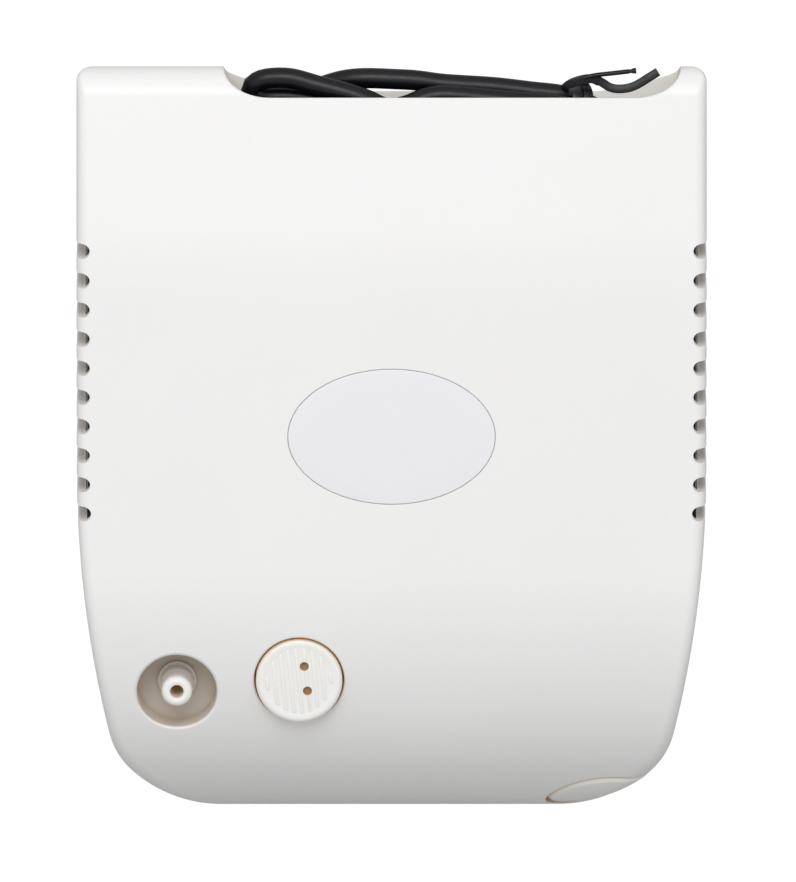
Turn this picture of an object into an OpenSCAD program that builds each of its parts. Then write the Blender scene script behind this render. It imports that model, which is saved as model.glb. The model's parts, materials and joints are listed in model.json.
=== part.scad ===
// Tabletop compressor nebulizer: the mains-powered unit that blows air to a
// nebulizer cup. A two-part case holds a shaded-pole motor that drives a small
// dry piston compressor. Origin on the table under the centre of the case,
// +Z up, front of the case towards -Y.

/* [Case] */
// Width of the case
case_width = 166; // [164:1:170]
// Depth of the case, front to rear
case_depth = 195.4; // [195:0.2:198]
// Height of the crown above the table, feet included
case_height = 95; // [95:0.5:97]
// Wall thickness of both shells
wall = 2.4; // [2.2:0.1:2.6]
// Height of the line where the two shells meet
parting_height = 18; // [17.5:0.5:18.5]
// Slope of the main panel, down towards the front
panel_slope = 6; // [5.5:0.1:6.2]
// Radius of the front corners in plan
corner_radius = 35; // [34:1:36]

/* [Vents] */
// Number of vent slots on each side
vent_count = 10; // [6:1:10]
// Spacing of the vent slots
vent_pitch = 7.9; // [7.6:0.1:8]
// Width of one vent slot
vent_width = 4; // [3:0.5:4.5]
// Backward lean of the slots, seen from the side
vent_lean = 16; // [10:1:18]

/* [Controls and ports] */
// Diameter of the power button
button_diameter = 32.7; // [31.2:0.5:32.7]
// How far the power button travels
button_travel = 2.5; // [2:0.5:3]
// Diameter of the filter cap
cap_diameter = 23; // [22:0.5:23]
// Diameter of the well around the air outlet
well_diameter = 21.1; // [19.5:0.2:21.1]
// Diameter of the straight part of the air outlet, which the tube pushes on
outlet_diameter = 8.2; // [7.6:0.1:8.4]
// Length of the oval badge
badge_length = 54.8; // [50:0.2:56]
// Width of the oval badge
badge_width = 35.9; // [32:0.2:37]

/* [Cord bay] */
// Diameter of the mains cord
cord_diameter = 5.5; // [5:0.1:5.6]
// Number of turns of cord wound up in the bay
cord_turns = 3.5; // [2.5:1:3.5]

/* [Compressor] */
// Bore of the compressor cylinder
bore_diameter = 30; // [30:0.5:31]
// Stroke of the piston
stroke = 5; // [4:0.5:5]
// Diameter of the motor's rotor
rotor_diameter = 32; // [31:0.5:32]
// Number of blades on the cooling fan
fan_blades = 9; // [5:1:11]

/* [Hidden] */
$fn = 64;

// Case extents and the arcs of its outline
half_w = case_width / 2;
y_front = -case_depth / 2;
y_rear = case_depth / 2;
base_z = 3;
side_radius = 300;
side_bend_y = -8;
blend_radius = 20;
rear_corner = 4;
bottom_round = 6;
corner_x = half_w - 38;
corner_y = y_front + corner_radius;

// Arcs of the side profile, from the front edge to the crown
front_radius = 56;
shoulder_radius = 82;
crown_radius = 182;
rear_round = 8;
shoulder_angle = 33;
crown_y = 55;
crown_cz = case_height - crown_radius;
panel_rear_y = crown_y - crown_radius * sin(panel_slope);
panel_rear_z = crown_cz + crown_radius * cos(panel_slope);
front_cy = y_front + front_radius;
shoulder_cy = front_cy + (shoulder_radius - front_radius) * sin(shoulder_angle);
panel_front_y = shoulder_cy - shoulder_radius * sin(panel_slope);
panel_front_z = panel_rear_z - (panel_rear_y - panel_front_y) * tan(panel_slope);
shoulder_cz = panel_front_z - shoulder_radius * cos(panel_slope);
front_cz = shoulder_cz + (shoulder_radius - front_radius) * cos(shoulder_angle);

// Air outlet and filter port, both leaning forward by the same angle
port_lean = 15;
port_axis = [0, -sin(port_lean), cos(port_lean)];
well_x = -56.7;
well_y = -67.4;
well_depth = 13;
well_top = [well_x, well_y, shoulder_z(well_y)];
cap_x = -24.4;
cap_y = -64.5;
cap_r = cap_diameter / 2;
cap_gap = 0.35;
cap_rear_y = cap_y + cap_r * cos(port_lean);
cap_z = shoulder_z(cap_rear_y) - cap_r * sin(port_lean);
cap_top = [cap_x, cap_y, cap_z];

// Power button on the front right corner
button_turn = 23;
button_lift = 15;
button_r = button_diameter / 2;
button_gap = 0.7;
plunger_foot = -24;
button_azimuth = button_turn - 90;
button_at = [
    corner_x + corner_radius * sin(button_turn),
    corner_y - corner_radius * cos(button_turn) + 0.4,
    38
];
button_out = [
    cos(button_lift) * cos(button_azimuth),
    cos(button_lift) * sin(button_azimuth),
    sin(button_lift)
];
button_side = [-sin(button_azimuth), cos(button_azimuth), 0];

// Vents in the sides
vent_rear_y = 50.1;
vent_cut = 58;
vent_below = 44;

// Cord bay in the rear
bay_left = -44.2;
bay_right = 76.2;
bay_front = 62;
bay_floor = 40;
lip_depth = 8.4;
groove_depth = 5.8;
groove_reach = 21;
bushing_at = [64, bay_front, 80];

// Screw posts that join the shells
post_places = [[-70, 84], [68, 86], [-71, -50], [71, -50]];
foot_places = [[-58, 74], [58, 74], [-58, -62], [58, -62]];

// Motor and compressor
shaft_y = 2;
shaft_z = 38;
shaft_r = 3;
crank_throw = stroke / 2;
bore_x = -23;
bore_r = bore_diameter / 2;
sleeve_wall = 2;
plate_z = 14;
plate_thick = 2;
deck_z = 60;
foot_top = 19;
sleeve_top = 73;
valve_top = 76;
gasket_top = 76.6;
head_top = 83.5;
block_half = 20;
head_bolt = 16.6;
port_offset = 11;
stack_x0 = 8;
stack_x1 = 34;
core_half = 22;
yoke_y0 = 38;
yoke_y1 = 48;
air_gap = 0.35;
fit = 0.02;
spigot_r = 2.5;
hose_bore = 2.7;
mount_places = [[-48, -24], [-48, 28], [43, -24], [43, 28]];
crankcase_bolts = [[-36, -22], [-10, -22], [-36, 26], [-10, 26]];
motor_bolt_places = [[19, 21], [-15, 55]];
cord_r = cord_diameter / 2;

// Mains cord, wound as an oblong coil in the bay
coil_x0 = -29;
coil_x1 = 48;
coil_y = 84;
coil_r = 9;
coil_top = 84;
coil_pitch = 6.2;
coil_straight = coil_x1 - coil_x0;
coil_half = coil_straight + PI * coil_r;
coil_length = cord_turns * 2 * coil_half;
coil_steps = floor(coil_length / 5.5);
plug_at = [0, 76, 49];
pin_spacing = 12.7;

// Piston at bottom dead centre: the crank pin hangs straight below the shaft
pin_z = shaft_z - crank_throw;
crown_z = 61;

// Shading rings of the stator
shade_r = 19.6;
shade_angles = [65, 100, 245, 280];

// Ends of the hoses and the length that sits straight on each spigot
spigot_grip = 9;
head_port_z = 79.3;
intake_from = cap_top - port_axis * 21.6;
intake_to = [bore_x, shaft_y - block_half - 0.5, head_port_z];
outlet_from = well_top - port_axis * 17.7;
outlet_to = [bore_x - block_half - 0.5, shaft_y + 9.5, head_port_z];

// ---- points and curves ----

function arc(cx, cy, r, a0, a1, n) = [
    for (i = [0:n])
        let (a = a0 + (a1 - a0) * i / n)
        [cx + r * cos(a), cy + r * sin(a)]
];

// Height of the shoulder's surface at a given y
function shoulder_z(y) =
    shoulder_cz + sqrt(pow(shoulder_radius, 2) - pow(y - shoulder_cy, 2));

// Height of the main panel's surface at a given y
function panel_z(y) = panel_rear_z - (panel_rear_y - y) * tan(panel_slope);

// Centre of the blend arc that touches the side arc and the corner arc
blend_gap = [corner_x - (half_w - side_radius), corner_y - side_bend_y];
blend_far = side_radius - blend_radius;
blend_near = corner_radius - blend_radius;
blend_span = norm(blend_gap);
blend_along = (pow(blend_far, 2) - pow(blend_near, 2) + pow(blend_span, 2)) / (2 * blend_span);
blend_off = sqrt(pow(blend_far, 2) - pow(blend_along, 2));
blend_u = blend_gap / blend_span;
blend_cx = half_w - side_radius + blend_u.x * blend_along + blend_u.y * blend_off;
blend_cy = side_bend_y + blend_u.y * blend_along - blend_u.x * blend_off;
side_end = atan2(blend_cy - side_bend_y, blend_cx - (half_w - side_radius));
corner_start = atan2(blend_cy - corner_y, blend_cx - corner_x);

function right_edge(t) = concat(
    arc(half_w - rear_corner, y_rear - rear_corner, rear_corner - t, 90, 0, 4),
    arc(half_w - side_radius, side_bend_y, side_radius - t, 0, side_end, 7),
    arc(blend_cx, blend_cy, blend_radius - t, side_end, corner_start, 6),
    arc(corner_x, corner_y, corner_radius - t, corner_start, -90, 8)
);

// Plan outline of the case, drawn in by t
function case_plan(t) =
    let (right = right_edge(t), n = len(right))
    concat(right, [for (i = [0:n - 1]) let (p = right[n - 1 - i]) [-p.x, p.y]]);

// Side outline of the upper shell, drawn in by t
function case_profile(t) = concat(
    [[y_front + t, 0]],
    arc(front_cy, front_cz, front_radius - t, 180, 90 + shoulder_angle, 10),
    arc(shoulder_cy, shoulder_cz, shoulder_radius - t, 90 + shoulder_angle - 4, 90 + panel_slope, 6),
    arc(crown_y, crown_cz, crown_radius - t, 90 + panel_slope, 90, 3),
    arc(y_rear - rear_round, case_height - rear_round, rear_round - t, 90, 0, 6),
    [[y_rear - t, 0]]
);

function rounded_rect(w, h, r, n = 4) = concat(
    arc(w / 2 - r, h / 2 - r, r, 0, 90, n),
    arc(r - w / 2, h / 2 - r, r, 90, 180, n),
    arc(r - w / 2, r - h / 2, r, 180, 270, n),
    arc(w / 2 - r, r - h / 2, r, 270, 360, n)
);

function oval(a, b, n = 56) = [for (i = [0:n - 1]) [a * cos(360 * i / n), b * sin(360 * i / n)]];

// Outline of the hollow in the rear edge, with curved ends
function hollow_plan() =
    let (reach = 12, top = y_rear + 1, n = 6)
    let (curve = [for (i = [0:n]) [reach * (1 - cos(90 * i / n)), lip_depth * sin(90 * i / n)]])
    concat(
        [[bay_left, top]],
        [for (i = [0:n]) [bay_left + curve[i].x, y_rear - curve[i].y]],
        [for (i = [n:-1:0]) [bay_right - curve[i].x, y_rear - curve[i].y]],
        [[bay_right, top]]
    );

// Outline of the groove below the hollow, which deepens quickly and then slowly from its ends
function groove_plan(grow) =
    let (top = y_rear + 1, n = 8, reach = groove_reach + grow, deep = groove_depth + grow)
    let (curve = [for (i = [0:n]) [reach * pow(i / n, 1.6), deep * pow(i / n, 1.04)]])
    concat(
        [[bay_left - grow, top]],
        [for (i = [0:n]) [bay_left - grow + curve[i].x, y_rear - curve[i].y]],
        [for (i = [n:-1:0]) [bay_right + grow - curve[i].x, y_rear - curve[i].y]],
        [[bay_right + grow, top]]
    );

function bezier(a, b, c, d, n) = [
    for (i = [0:n])
        let (t = i / n, s = 1 - t)
        a * s * s * s + b * 3 * s * s * t + c * 3 * s * t * t + d * t * t * t
];

function unit(v) = v / norm(v);

function tangents(path) =
    let (n = len(path))
    [for (i = [0:n - 1]) unit(path[min(i + 1, n - 1)] - path[max(i - 1, 0)])];

// Normals carried along the path without twisting
function carried(tangent_list, i, previous) =
    i >= len(tangent_list) ? [] :
    let (t = tangent_list[i], now = unit(previous - t * (previous * t)))
    concat([now], carried(tangent_list, i + 1, now));

// ---- general shapes ----

// Bar of round section along a list of points, with an optional bore
module swept(path, r, bore = 0, sides = 10, first = [0.1, 0.2, 1]) {
    along = tangents(path);
    across = carried(along, 0, first);
    count = len(path);
    radii = bore > 0 ? [r, bore] : [r];
    points = [
        for (radius = radii, i = [0:count - 1], k = [0:sides - 1])
            let (side = cross(along[i], across[i]), a = 360 * k / sides)
            path[i] + across[i] * (radius * cos(a)) + side * (radius * sin(a))
    ];
    inner = count * sides;
    last = (count - 1) * sides;
    outer_faces = [
        for (i = [0:count - 2], k = [0:sides - 1])
            let (q = (k + 1) % sides)
            [i * sides + k, (i + 1) * sides + k, (i + 1) * sides + q, i * sides + q]
    ];
    inner_faces = [
        for (i = [0:count - 2], k = [0:sides - 1])
            let (q = (k + 1) % sides)
            [
                inner + i * sides + q, inner + (i + 1) * sides + q,
                inner + (i + 1) * sides + k, inner + i * sides + k
            ]
    ];
    end_caps = [[for (k = [0:sides - 1]) k], [for (k = [sides - 1:-1:0]) last + k]];
    end_rings = [
        for (k = [0:sides - 1])
            let (q = (k + 1) % sides)
            each [
                [k, q, inner + q, inner + k],
                [last + q, last + k, inner + last + k, inner + last + q]
            ]
    ];
    rest = bore > 0 ? concat(inner_faces, end_rings) : end_caps;
    polyhedron(points, concat(outer_faces, rest));
}

module tube(r, bore, h) {
    difference() {
        cylinder(r = r, h = h);
        translate([0, 0, -1]) cylinder(r = bore, h = h + 2);
    }
}

// Children drawn along +Z are laid along +X
module along_x(x, y, z) {
    translate([x, y, z]) rotate([0, 90, 0]) children();
}

module box(low, high) {
    translate(low) cube(high - low);
}

module bar(plan, z0, z1) {
    translate([0, 0, z0]) linear_extrude(height = z1 - z0) polygon(plan);
}

// Solid body of the case above the parting line, drawn in by t
module case_body(t, z0) {
    intersection() {
        bar(case_plan(t), z0, case_height + 1);
        translate([-case_width, 0, 0]) rotate([90, 0, 90])
            linear_extrude(height = 2 * case_width) polygon(case_profile(t));
    }
}

// Solid body of the case below the parting line, drawn in by t
module base_body(t, z1) {
    round_r = bottom_round - t;
    tall = 60;
    low = base_z + t;
    intersection() {
        bar(case_plan(t), 0, z1);
        translate([-case_width, 0, low + tall / 2]) rotate([90, 0, 90])
            linear_extrude(height = 2 * case_width)
                polygon(rounded_rect(case_depth - 2 * t, tall, round_r));
        translate([0, case_depth, low + tall / 2]) rotate([90, 0, 0])
            linear_extrude(height = 2 * case_depth)
                polygon(rounded_rect(case_width - 2 * t, tall, round_r));
    }
}

module at_well() {
    translate(well_top) rotate([port_lean, 0, 0]) children();
}

module at_cap() {
    translate(cap_top) rotate([port_lean, 0, 0]) children();
}

module at_button() {
    translate(button_at) rotate([0, 90 - button_lift, button_azimuth]) children();
}

// ---- case ----

module vent_slots() {
    half = vent_width / 2;
    slot_depth = 3.55;
    section = concat(
        [[4, half]],
        [for (a = [90:22.5:270]) [half * cos(a), half * sin(a)]],
        [[4, -half]]
    );
    for (side = [0, 1], i = [0:vent_count - 1])
        mirror([side, 0, 0])
            translate([half_w - slot_depth + half, vent_rear_y - vent_pitch * i, 90])
                rotate([vent_lean, 0, 0])
                    translate([0, 0, -vent_below])
                        linear_extrude(height = vent_cut) polygon(section);
}

module shell_extras() {
    at_well() translate([0, 0, -well_depth - 2]) cylinder(d = well_diameter + 4, h = well_depth + 12);
    at_cap() translate([0, 0, -14.5]) cylinder(r = cap_r + cap_gap + 1.8, h = 24);
    at_button() translate([0, 0, -9]) cylinder(r = button_r + button_gap + 2, h = 16);
    box([bay_left - 2, bay_front - 2, bay_floor - 2], [bay_right + 2, y_rear, case_height]);
    bar(groove_plan(2.2), parting_height, bay_floor - 1);
    for (p = post_places)
        translate([p.x, p.y, parting_height + 0.2]) cylinder(r = 4, h = 80);
}

module upper_shell() {
    color("ivory") difference() {
        union() {
            difference() {
                case_body(0, parting_height);
                case_body(wall, parting_height - 1);
            }
            intersection() {
                shell_extras();
                case_body(0.6, parting_height);
            }
        }
        at_well() translate([0, 0, -well_depth]) cylinder(d = well_diameter, h = well_depth + 15);
        at_well() translate([0, 0, -well_depth - 5]) cylinder(r = 4.1, h = 10);
        at_cap() translate([0, 0, -20]) cylinder(r = cap_r + cap_gap, h = 40);
        at_button() translate([0, 0, -12]) cylinder(r = button_r + button_gap, h = 30);
        intersection() {
            box([bay_left, bay_front, bay_floor], [bay_right, y_rear + 1, case_height]);
            case_body(wall, parting_height);
        }
        bar(hollow_plan(), bay_floor, case_height + 2);
        bar(groove_plan(0), parting_height - 1, bay_floor + 1);
        translate([0, 0, panel_z(0)]) rotate([panel_slope, 0, 0])
            bar(oval(badge_length / 2, badge_width / 2), -1, 5);
        translate(bushing_at - [0, 4, 0]) rotate([-90, 0, 0]) cylinder(r = 4.05, h = 8);
        for (p = post_places)
            translate([p.x, p.y, parting_height - 1]) cylinder(r = 1.52, h = 18);
        vent_slots();
    }
}

// Step around the top of the lower shell that keeps the upper one in line
module locating_lip() {
    difference() {
        union() {
            bar(case_plan(wall - 0.6), parting_height - 3, parting_height);
            bar(case_plan(wall + 0.15), parting_height - 2, parting_height + 1.3);
        }
        bar(case_plan(wall + 1.3), parting_height - 4, parting_height + 2);
        box([bay_left - 8, bay_front + 20, 0], [bay_right + 8, y_rear + 1, 40]);
        at_button() translate([0, 0, -12]) cylinder(r = button_r + 3.2, h = 20);
    }
}

module lower_shell() {
    color("ivory") difference() {
        union() {
            difference() {
                base_body(0, parting_height);
                base_body(wall, parting_height + 1);
            }
            intersection() {
                union() {
                    bar(groove_plan(2.2), base_z + 1, parting_height);
                    for (p = post_places)
                        translate([p.x, p.y, base_z + 1]) cylinder(r = 4.6, h = parting_height - base_z - 1);
                    for (p = mount_places)
                        translate([p.x, p.y, base_z + 1]) cylinder(r = 5.5, h = 4);
                }
                base_body(0.6, parting_height);
            }
            locating_lip();
        }
        bar(groove_plan(0), 0, parting_height + 1);
        for (p = foot_places)
            translate([p.x, p.y, 0]) cylinder(r = 8.1, h = base_z + 0.5);
        for (p = post_places) {
            translate([p.x, p.y, 0]) cylinder(r = 3.3, h = 9);
            translate([p.x, p.y, 0]) cylinder(r = 1.7, h = parting_height + 1);
        }
        for (p = mount_places)
            translate([p.x, p.y, base_z + 1]) cylinder(r = 1.6, h = 6);
        for (i = [0:7])
            box([40 + i * 3, -18, 0], [41.5 + i * 3, 22, base_z + 4]);
    }
}

module rubber_feet() {
    color("dimgray") for (p = foot_places)
        translate([p.x, p.y, 0]) rotate_extrude()
            polygon([[0, 0], [7.2, 0], [8, 0.8], [8, base_z + 0.45], [0, base_z + 0.45]]);
}

module case_screws() {
    color("silver") for (p = post_places)
        translate([p.x, p.y, 0]) {
            difference() {
                translate([0, 0, 6.6]) cylinder(r = 2.9, h = 2.35);
                translate([0, 0, 6]) cube([0.8, 4, 2.6], center = true);
                translate([0, 0, 6]) cube([4, 0.8, 2.6], center = true);
            }
            translate([0, 0, 8.9]) cylinder(r = 1.5, h = 25);
        }
}

module oval_badge() {
    color("ghostwhite") translate([0, 0, panel_z(0)]) rotate([panel_slope, 0, 0])
        bar(oval(badge_length / 2 - 0.25, badge_width / 2 - 0.25), -0.99, -0.25);
}

// ---- air outlet ----

module air_outlet_nozzle() {
    outlet_r = outlet_diameter / 2;
    color("white") at_well() difference() {
        rotate_extrude() polygon([
            [0, -25], [2.2, -25], [spigot_r, -23.5], [spigot_r, -17], [4, -16.5],
            [4, -12.28], [5.1, -12.28], [5.1, -11.8], [4.4, -11.4], [4.4, -7.4],
            [outlet_r, -6.6], [outlet_r, -1.7], [outlet_r - 0.45, -0.65], [outlet_r - 1.5, -0.2], [0, -0.2]
        ]);
        translate([0, 0, -26]) cylinder(r = 1.5, h = 18);
        translate([0, 0, -8.5]) cylinder(r = 1.75, h = 9);
    }
}

module outlet_seal() {
    color("black") at_well() translate([0, 0, -12.97]) tube(4.9, 4.1, 0.66);
}

module outlet_nut() {
    color("whitesmoke") at_well() translate([0, 0, -17.6]) difference() {
        cylinder(r = 6.8, h = 2.55, $fn = 6);
        translate([0, 0, -1]) cylinder(r = 4.02, h = 5);
    }
}

// ---- air intake ----

module filter_cap() {
    rib_pitch = 2.1;
    hole_places = [[1.37, 4], [2.2, -2.7]];
    color("white") at_cap() difference() {
        union() {
            rotate_extrude() polygon([
                [0, -1.4], [cap_r - 0.6, -1.4], [cap_r - 0.6, -11], [cap_r - 0.1, -11],
                [cap_r - 0.1, -9], [cap_r, -8.4], [cap_r, -1], [cap_r - 0.7, -0.2],
                [cap_r - 1.7, 0], [cap_r - 1.9, -0.3], [0, -0.3]
            ]);
            translate([0, 0, -9.4]) tube(cap_r - 0.4, cap_r - 1.9, 8.5);
            intersection() {
                translate([0, 0, -1]) cylinder(r = cap_r - 2.2, h = 2);
                rotate([0, 0, 6]) for (i = [-4:4])
                    box([i * rib_pitch - 0.4, -cap_r, -0.6], [i * rib_pitch + 0.4, cap_r, 0.3]);
            }
        }
        for (p = hole_places)
            translate([p.x, p.y, -3]) cylinder(r = 1.2, h = 6);
    }
}

module filter_element() {
    color("floralwhite") at_cap() translate([0, 0, -9.3]) cylinder(r = cap_r - 2, h = 7.8);
}

module filter_socket() {
    color("whitesmoke") at_cap() difference() {
        rotate_extrude() polygon([
            [0, -33], [2.2, -33], [spigot_r, -31.5], [spigot_r, -21], [cap_r + 3.9, -21],
            [cap_r + 3.9, -11], [cap_r + 2.25, -11], [cap_r + 2.25, -14.55], [cap_r - 1.2, -14.55],
            [cap_r - 1.2, -19], [0, -19]
        ]);
        translate([0, 0, -34]) cylinder(r = 1.7, h = 20);
    }
}

// ---- power switch ----

module power_button() {
    color("white") intersection() {
        at_button() union() {
            translate([0, 0, -8.5]) cylinder(r = button_r, h = 16.5);
            translate([0, 0, -14]) cylinder(r = 3.5, h = 8.5);
        }
        case_body(0.5, parting_height);
    }
}

module switch_bracket() {
    color("whitesmoke") intersection() {
        at_button() difference() {
            union() {
                box([-8, -18.3, -19], [8, 18.3, -17]);
                box([-3.5, -18.3, -17.01], [3.5, -17.3, -9.02]);
                box([-3.5, 17.3, -17.01], [3.5, 18.3, -9.02]);
            }
            translate([0, 0, -20]) cylinder(r = 3.2, h = 5);
        }
        case_body(wall + 0.1, parting_height);
    }
}

module switch_body() {
    color("dimgray") at_button() difference() {
        box([-7.5, -7.5, -31], [7.5, 7.5, -19.02]);
        translate([0, 0, plunger_foot - button_travel - 1.5]) cylinder(r = 2.6, h = 12);
    }
}

module switch_plunger() {
    color("lightgray") at_button() translate([0, 0, plunger_foot]) cylinder(r = 2.55, h = 9.98);
}

module switch_terminals() {
    color("gold") at_button() for (side = [-1, 1])
        box([side * 4 - 1.6, -0.4, -37], [side * 4 + 1.6, 0.4, -31.01]);
}

// ---- mains cord ----

// Point on the wound cord, a distance s along it
function wound(s) =
    let (lap = 2 * coil_half, u = s - lap * floor(s / lap), z = coil_top - coil_pitch * s / lap)
    u < coil_straight ? [coil_x1 - u, coil_y + coil_r, z] :
    u < coil_half ?
        let (a = 90 + 180 * (u - coil_straight) / (PI * coil_r))
        [coil_x0 + coil_r * cos(a), coil_y + coil_r * sin(a), z] :
    u < coil_half + coil_straight ? [coil_x0 + u - coil_half, coil_y - coil_r, z] :
    let (a = -90 + 180 * (u - coil_half - coil_straight) / (PI * coil_r))
    [coil_x1 + coil_r * cos(a), coil_y + coil_r * sin(a), z];

coil_end = wound(coil_length - 0.01);

module power_cord() {
    lead_in = concat(
        [bushing_at - [0, 6, 0]],
        bezier(bushing_at + [0, 6, 0], bushing_at + [0, 22, 0], [58, coil_y + coil_r, coil_top],
            [coil_x1, coil_y + coil_r, coil_top], 10)
    );
    turns = [for (i = [1:coil_steps]) wound((coil_length - 0.01) * i / coil_steps)];
    lead_out = bezier(coil_end, coil_end + [9, 0, -1], plug_at - [24, 0, 0], plug_at - [13, 0, 0], 8);
    color("dimgray")
        swept(concat(lead_in, turns, [for (i = [1:8]) lead_out[i]], [plug_at + [1, 0, 0]]), cord_r);
}

module cord_bushing() {
    color("black") translate(bushing_at) rotate([-90, 0, 0]) difference() {
        rotate_extrude() polygon([
            [0, -5], [5.4, -5], [5.4, -2.05], [4, -2.05], [4, 0.05], [5.4, 0.05],
            [5.4, 1.6], [4.4, 2.2], [4.1, 5], [0, 5]
        ]);
        translate([0, 0, -6]) cylinder(r = cord_r + 0.03, h = 12);
    }
}

module cord_tie() {
    tie_low = coil_top - coil_pitch * (cord_turns - 0.4) - cord_r - 0.8;
    tie_high = coil_top + cord_r + 0.8;
    tie_w = 2 * coil_r + 2 * cord_r + 1.6;
    color("black") translate([coil_x1 - 1.3, coil_y, (tie_low + tie_high) / 2]) rotate([90, 0, 90])
        linear_extrude(height = 2.4) difference() {
            polygon(rounded_rect(tie_w + 1.4, tie_high - tie_low + 1.4, 3.4));
            polygon(rounded_rect(tie_w, tie_high - tie_low, 2.7));
        }
}

module plug_body() {
    color("dimgray") translate(plug_at) rotate([90, 0, 90]) difference() {
        union() {
            linear_extrude(height = 27) polygon(rounded_rect(24, 13, 4));
            translate([0, 0, -12]) cylinder(r = 4.4, h = 13);
        }
        translate([0, 0, -14]) cylinder(r = cord_r + 0.03, h = 16);
    }
}

module plug_pins() {
    color("silver") translate(plug_at) for (side = [-1, 1])
        translate([27.01, side * pin_spacing / 2 - 0.75, -3.15]) cube([15.99, 1.5, 6.3]);
}

// ---- compressor ----

module pump_base() {
    color("silver") difference() {
        box([-55, -31, plate_z], [48.8, 35, plate_z + plate_thick]);
        for (p = mount_places)
            translate([p.x, p.y, plate_z - 1]) cylinder(r = 1.75, h = 4);
        for (p = crankcase_bolts)
            translate([p.x, p.y, plate_z - 1]) cylinder(r = 1.55, h = 4);
        box([12, -8, plate_z - 1], [30, 12, plate_z + 4]);
    }
}

module rubber_mounts() {
    color("black") for (p = mount_places)
        translate([p.x, p.y, 8.02]) difference() {
            rotate_extrude() polygon([
                [0, 0], [5.5, 0], [5.5, 1.6], [4.4, 2.4],
                [4.4, 3.6], [5.5, 4.4], [5.5, 5.96], [0, 5.96]
            ]);
            translate([0, 0, -1]) cylinder(r = 1.6, h = 8);
        }
}

module mount_screws() {
    color("silver") for (p = mount_places)
        translate([p.x, p.y, 0]) {
            translate([0, 0, base_z + 1.6]) cylinder(r = 1.5, h = 11.6);
            translate([0, 0, plate_z + plate_thick + 0.02]) cylinder(r = 3, h = 1.9);
        }
}

module crankcase() {
    foot_half = 28;
    foot_z = plate_z + plate_thick + fit;
    color("silver") difference() {
        union() {
            for (foot = [[block_half, deck_z], [foot_half, foot_top]])
                box([bore_x - block_half, shaft_y - foot[0], foot_z],
                    [bore_x + block_half, shaft_y + foot[0], foot[1]]);
        }
        box([bore_x - 17, shaft_y - 30, foot_top], [bore_x + 17, shaft_y + 30, deck_z - 4]);
        along_x(-8, shaft_y, shaft_z) cylinder(r = 7, h = 8);
        translate([bore_x, shaft_y, deck_z - 6]) cylinder(r = bore_r + sleeve_wall + fit, h = 10);
        for (p = crankcase_bolts)
            translate([p.x, p.y, 15]) cylinder(r = 1.55, h = 6);
        for (x = [-1, 1], y = [-1, 1])
            translate([bore_x + x * head_bolt, shaft_y + y * head_bolt, deck_z - 14])
                cylinder(r = 1.52, h = 15);
    }
}

module crankcase_screws() {
    color("silver") for (p = crankcase_bolts)
        translate([p.x, p.y, 0]) {
            translate([0, 0, 13]) cylinder(r = 1.5, h = 8);
            translate([0, 0, foot_top + fit]) cylinder(r = 2.8, h = 2);
        }
}

module cylinder_sleeve() {
    color("silver") translate([bore_x, shaft_y, 0]) difference() {
        union() {
            translate([0, 0, deck_z - 5]) cylinder(r = bore_r + sleeve_wall, h = sleeve_top - deck_z + 5);
            translate([0, 0, deck_z + 0.02]) cylinder(r = bore_r + 5, h = 3);
        }
        translate([0, 0, deck_z - 6]) cylinder(r = bore_r, h = 20);
        for (x = [-1, 1], y = [-1, 1])
            translate([x * head_bolt, y * head_bolt, deck_z - 1]) cylinder(r = 3.5, h = 6);
    }
}

module square_block(z0, z1) {
    translate([bore_x, shaft_y, 0]) difference() {
        bar(rounded_rect(2 * block_half, 2 * block_half, 3), z0, z1);
        for (x = [-1, 1], y = [-1, 1])
            translate([x * head_bolt, y * head_bolt, z0 - 1]) cylinder(r = 1.6, h = z1 - z0 + 2);
    }
}

module valve_plate() {
    color("silver") difference() {
        union() {
            square_block(sleeve_top + 0.01, valve_top);
            translate([bore_x, shaft_y - 3, sleeve_top - 0.35]) cylinder(r = 1, h = 1);
            translate([bore_x, shaft_y + 5, valve_top - 0.5]) cylinder(r = 1, h = 0.85);
        }
        for (side = [-1, 1])
            translate([bore_x, shaft_y + side * port_offset, sleeve_top - 1]) cylinder(r = 2, h = 6);
    }
}

// Spring-steel strip over a port; the stud of the valve plate sits in its hole
module reed(z, y_stud, y_tip) {
    color("lightsteelblue") difference() {
        box([bore_x - 3, min(y_stud, y_tip), z], [bore_x + 3, max(y_stud, y_tip), z + 0.25]);
        translate([bore_x, y_stud + (y_tip > y_stud ? 2 : -2), z - 1]) cylinder(r = 1.3, h = 3);
    }
}

module intake_reed() {
    reed(sleeve_top - 0.27, shaft_y - 1, shaft_y - port_offset - 3);
}

module exhaust_reed() {
    reed(valve_top + 0.02, shaft_y + 3, shaft_y + port_offset + 3);
}

module chambers(z0, z1) {
    for (side = [-1, 1])
        translate([bore_x, shaft_y + side * 9.5, 0])
            bar(rounded_rect(24, 15, 3), z0, z1);
}

module head_gasket() {
    color("dimgray") difference() {
        square_block(valve_top + 0.01, gasket_top - 0.01);
        chambers(valve_top - 1, gasket_top + 1);
    }
}

module cylinder_head() {
    color("silver") difference() {
        union() {
            square_block(gasket_top, head_top);
            translate([bore_x, shaft_y - block_half + 1, head_port_z]) rotate([90, 0, 0])
                cylinder(r = spigot_r, h = 12);
            along_x(bore_x - block_half - 11, shaft_y + 9.5, head_port_z) cylinder(r = spigot_r, h = 12);
        }
        chambers(gasket_top - 1, head_top - 1.8);
        translate([bore_x, shaft_y - 9.5, head_port_z]) rotate([90, 0, 0]) cylinder(r = 1.6, h = 30);
        along_x(bore_x - block_half - 14, shaft_y + 9.5, head_port_z) cylinder(r = 1.6, h = 30);
    }
}

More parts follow.
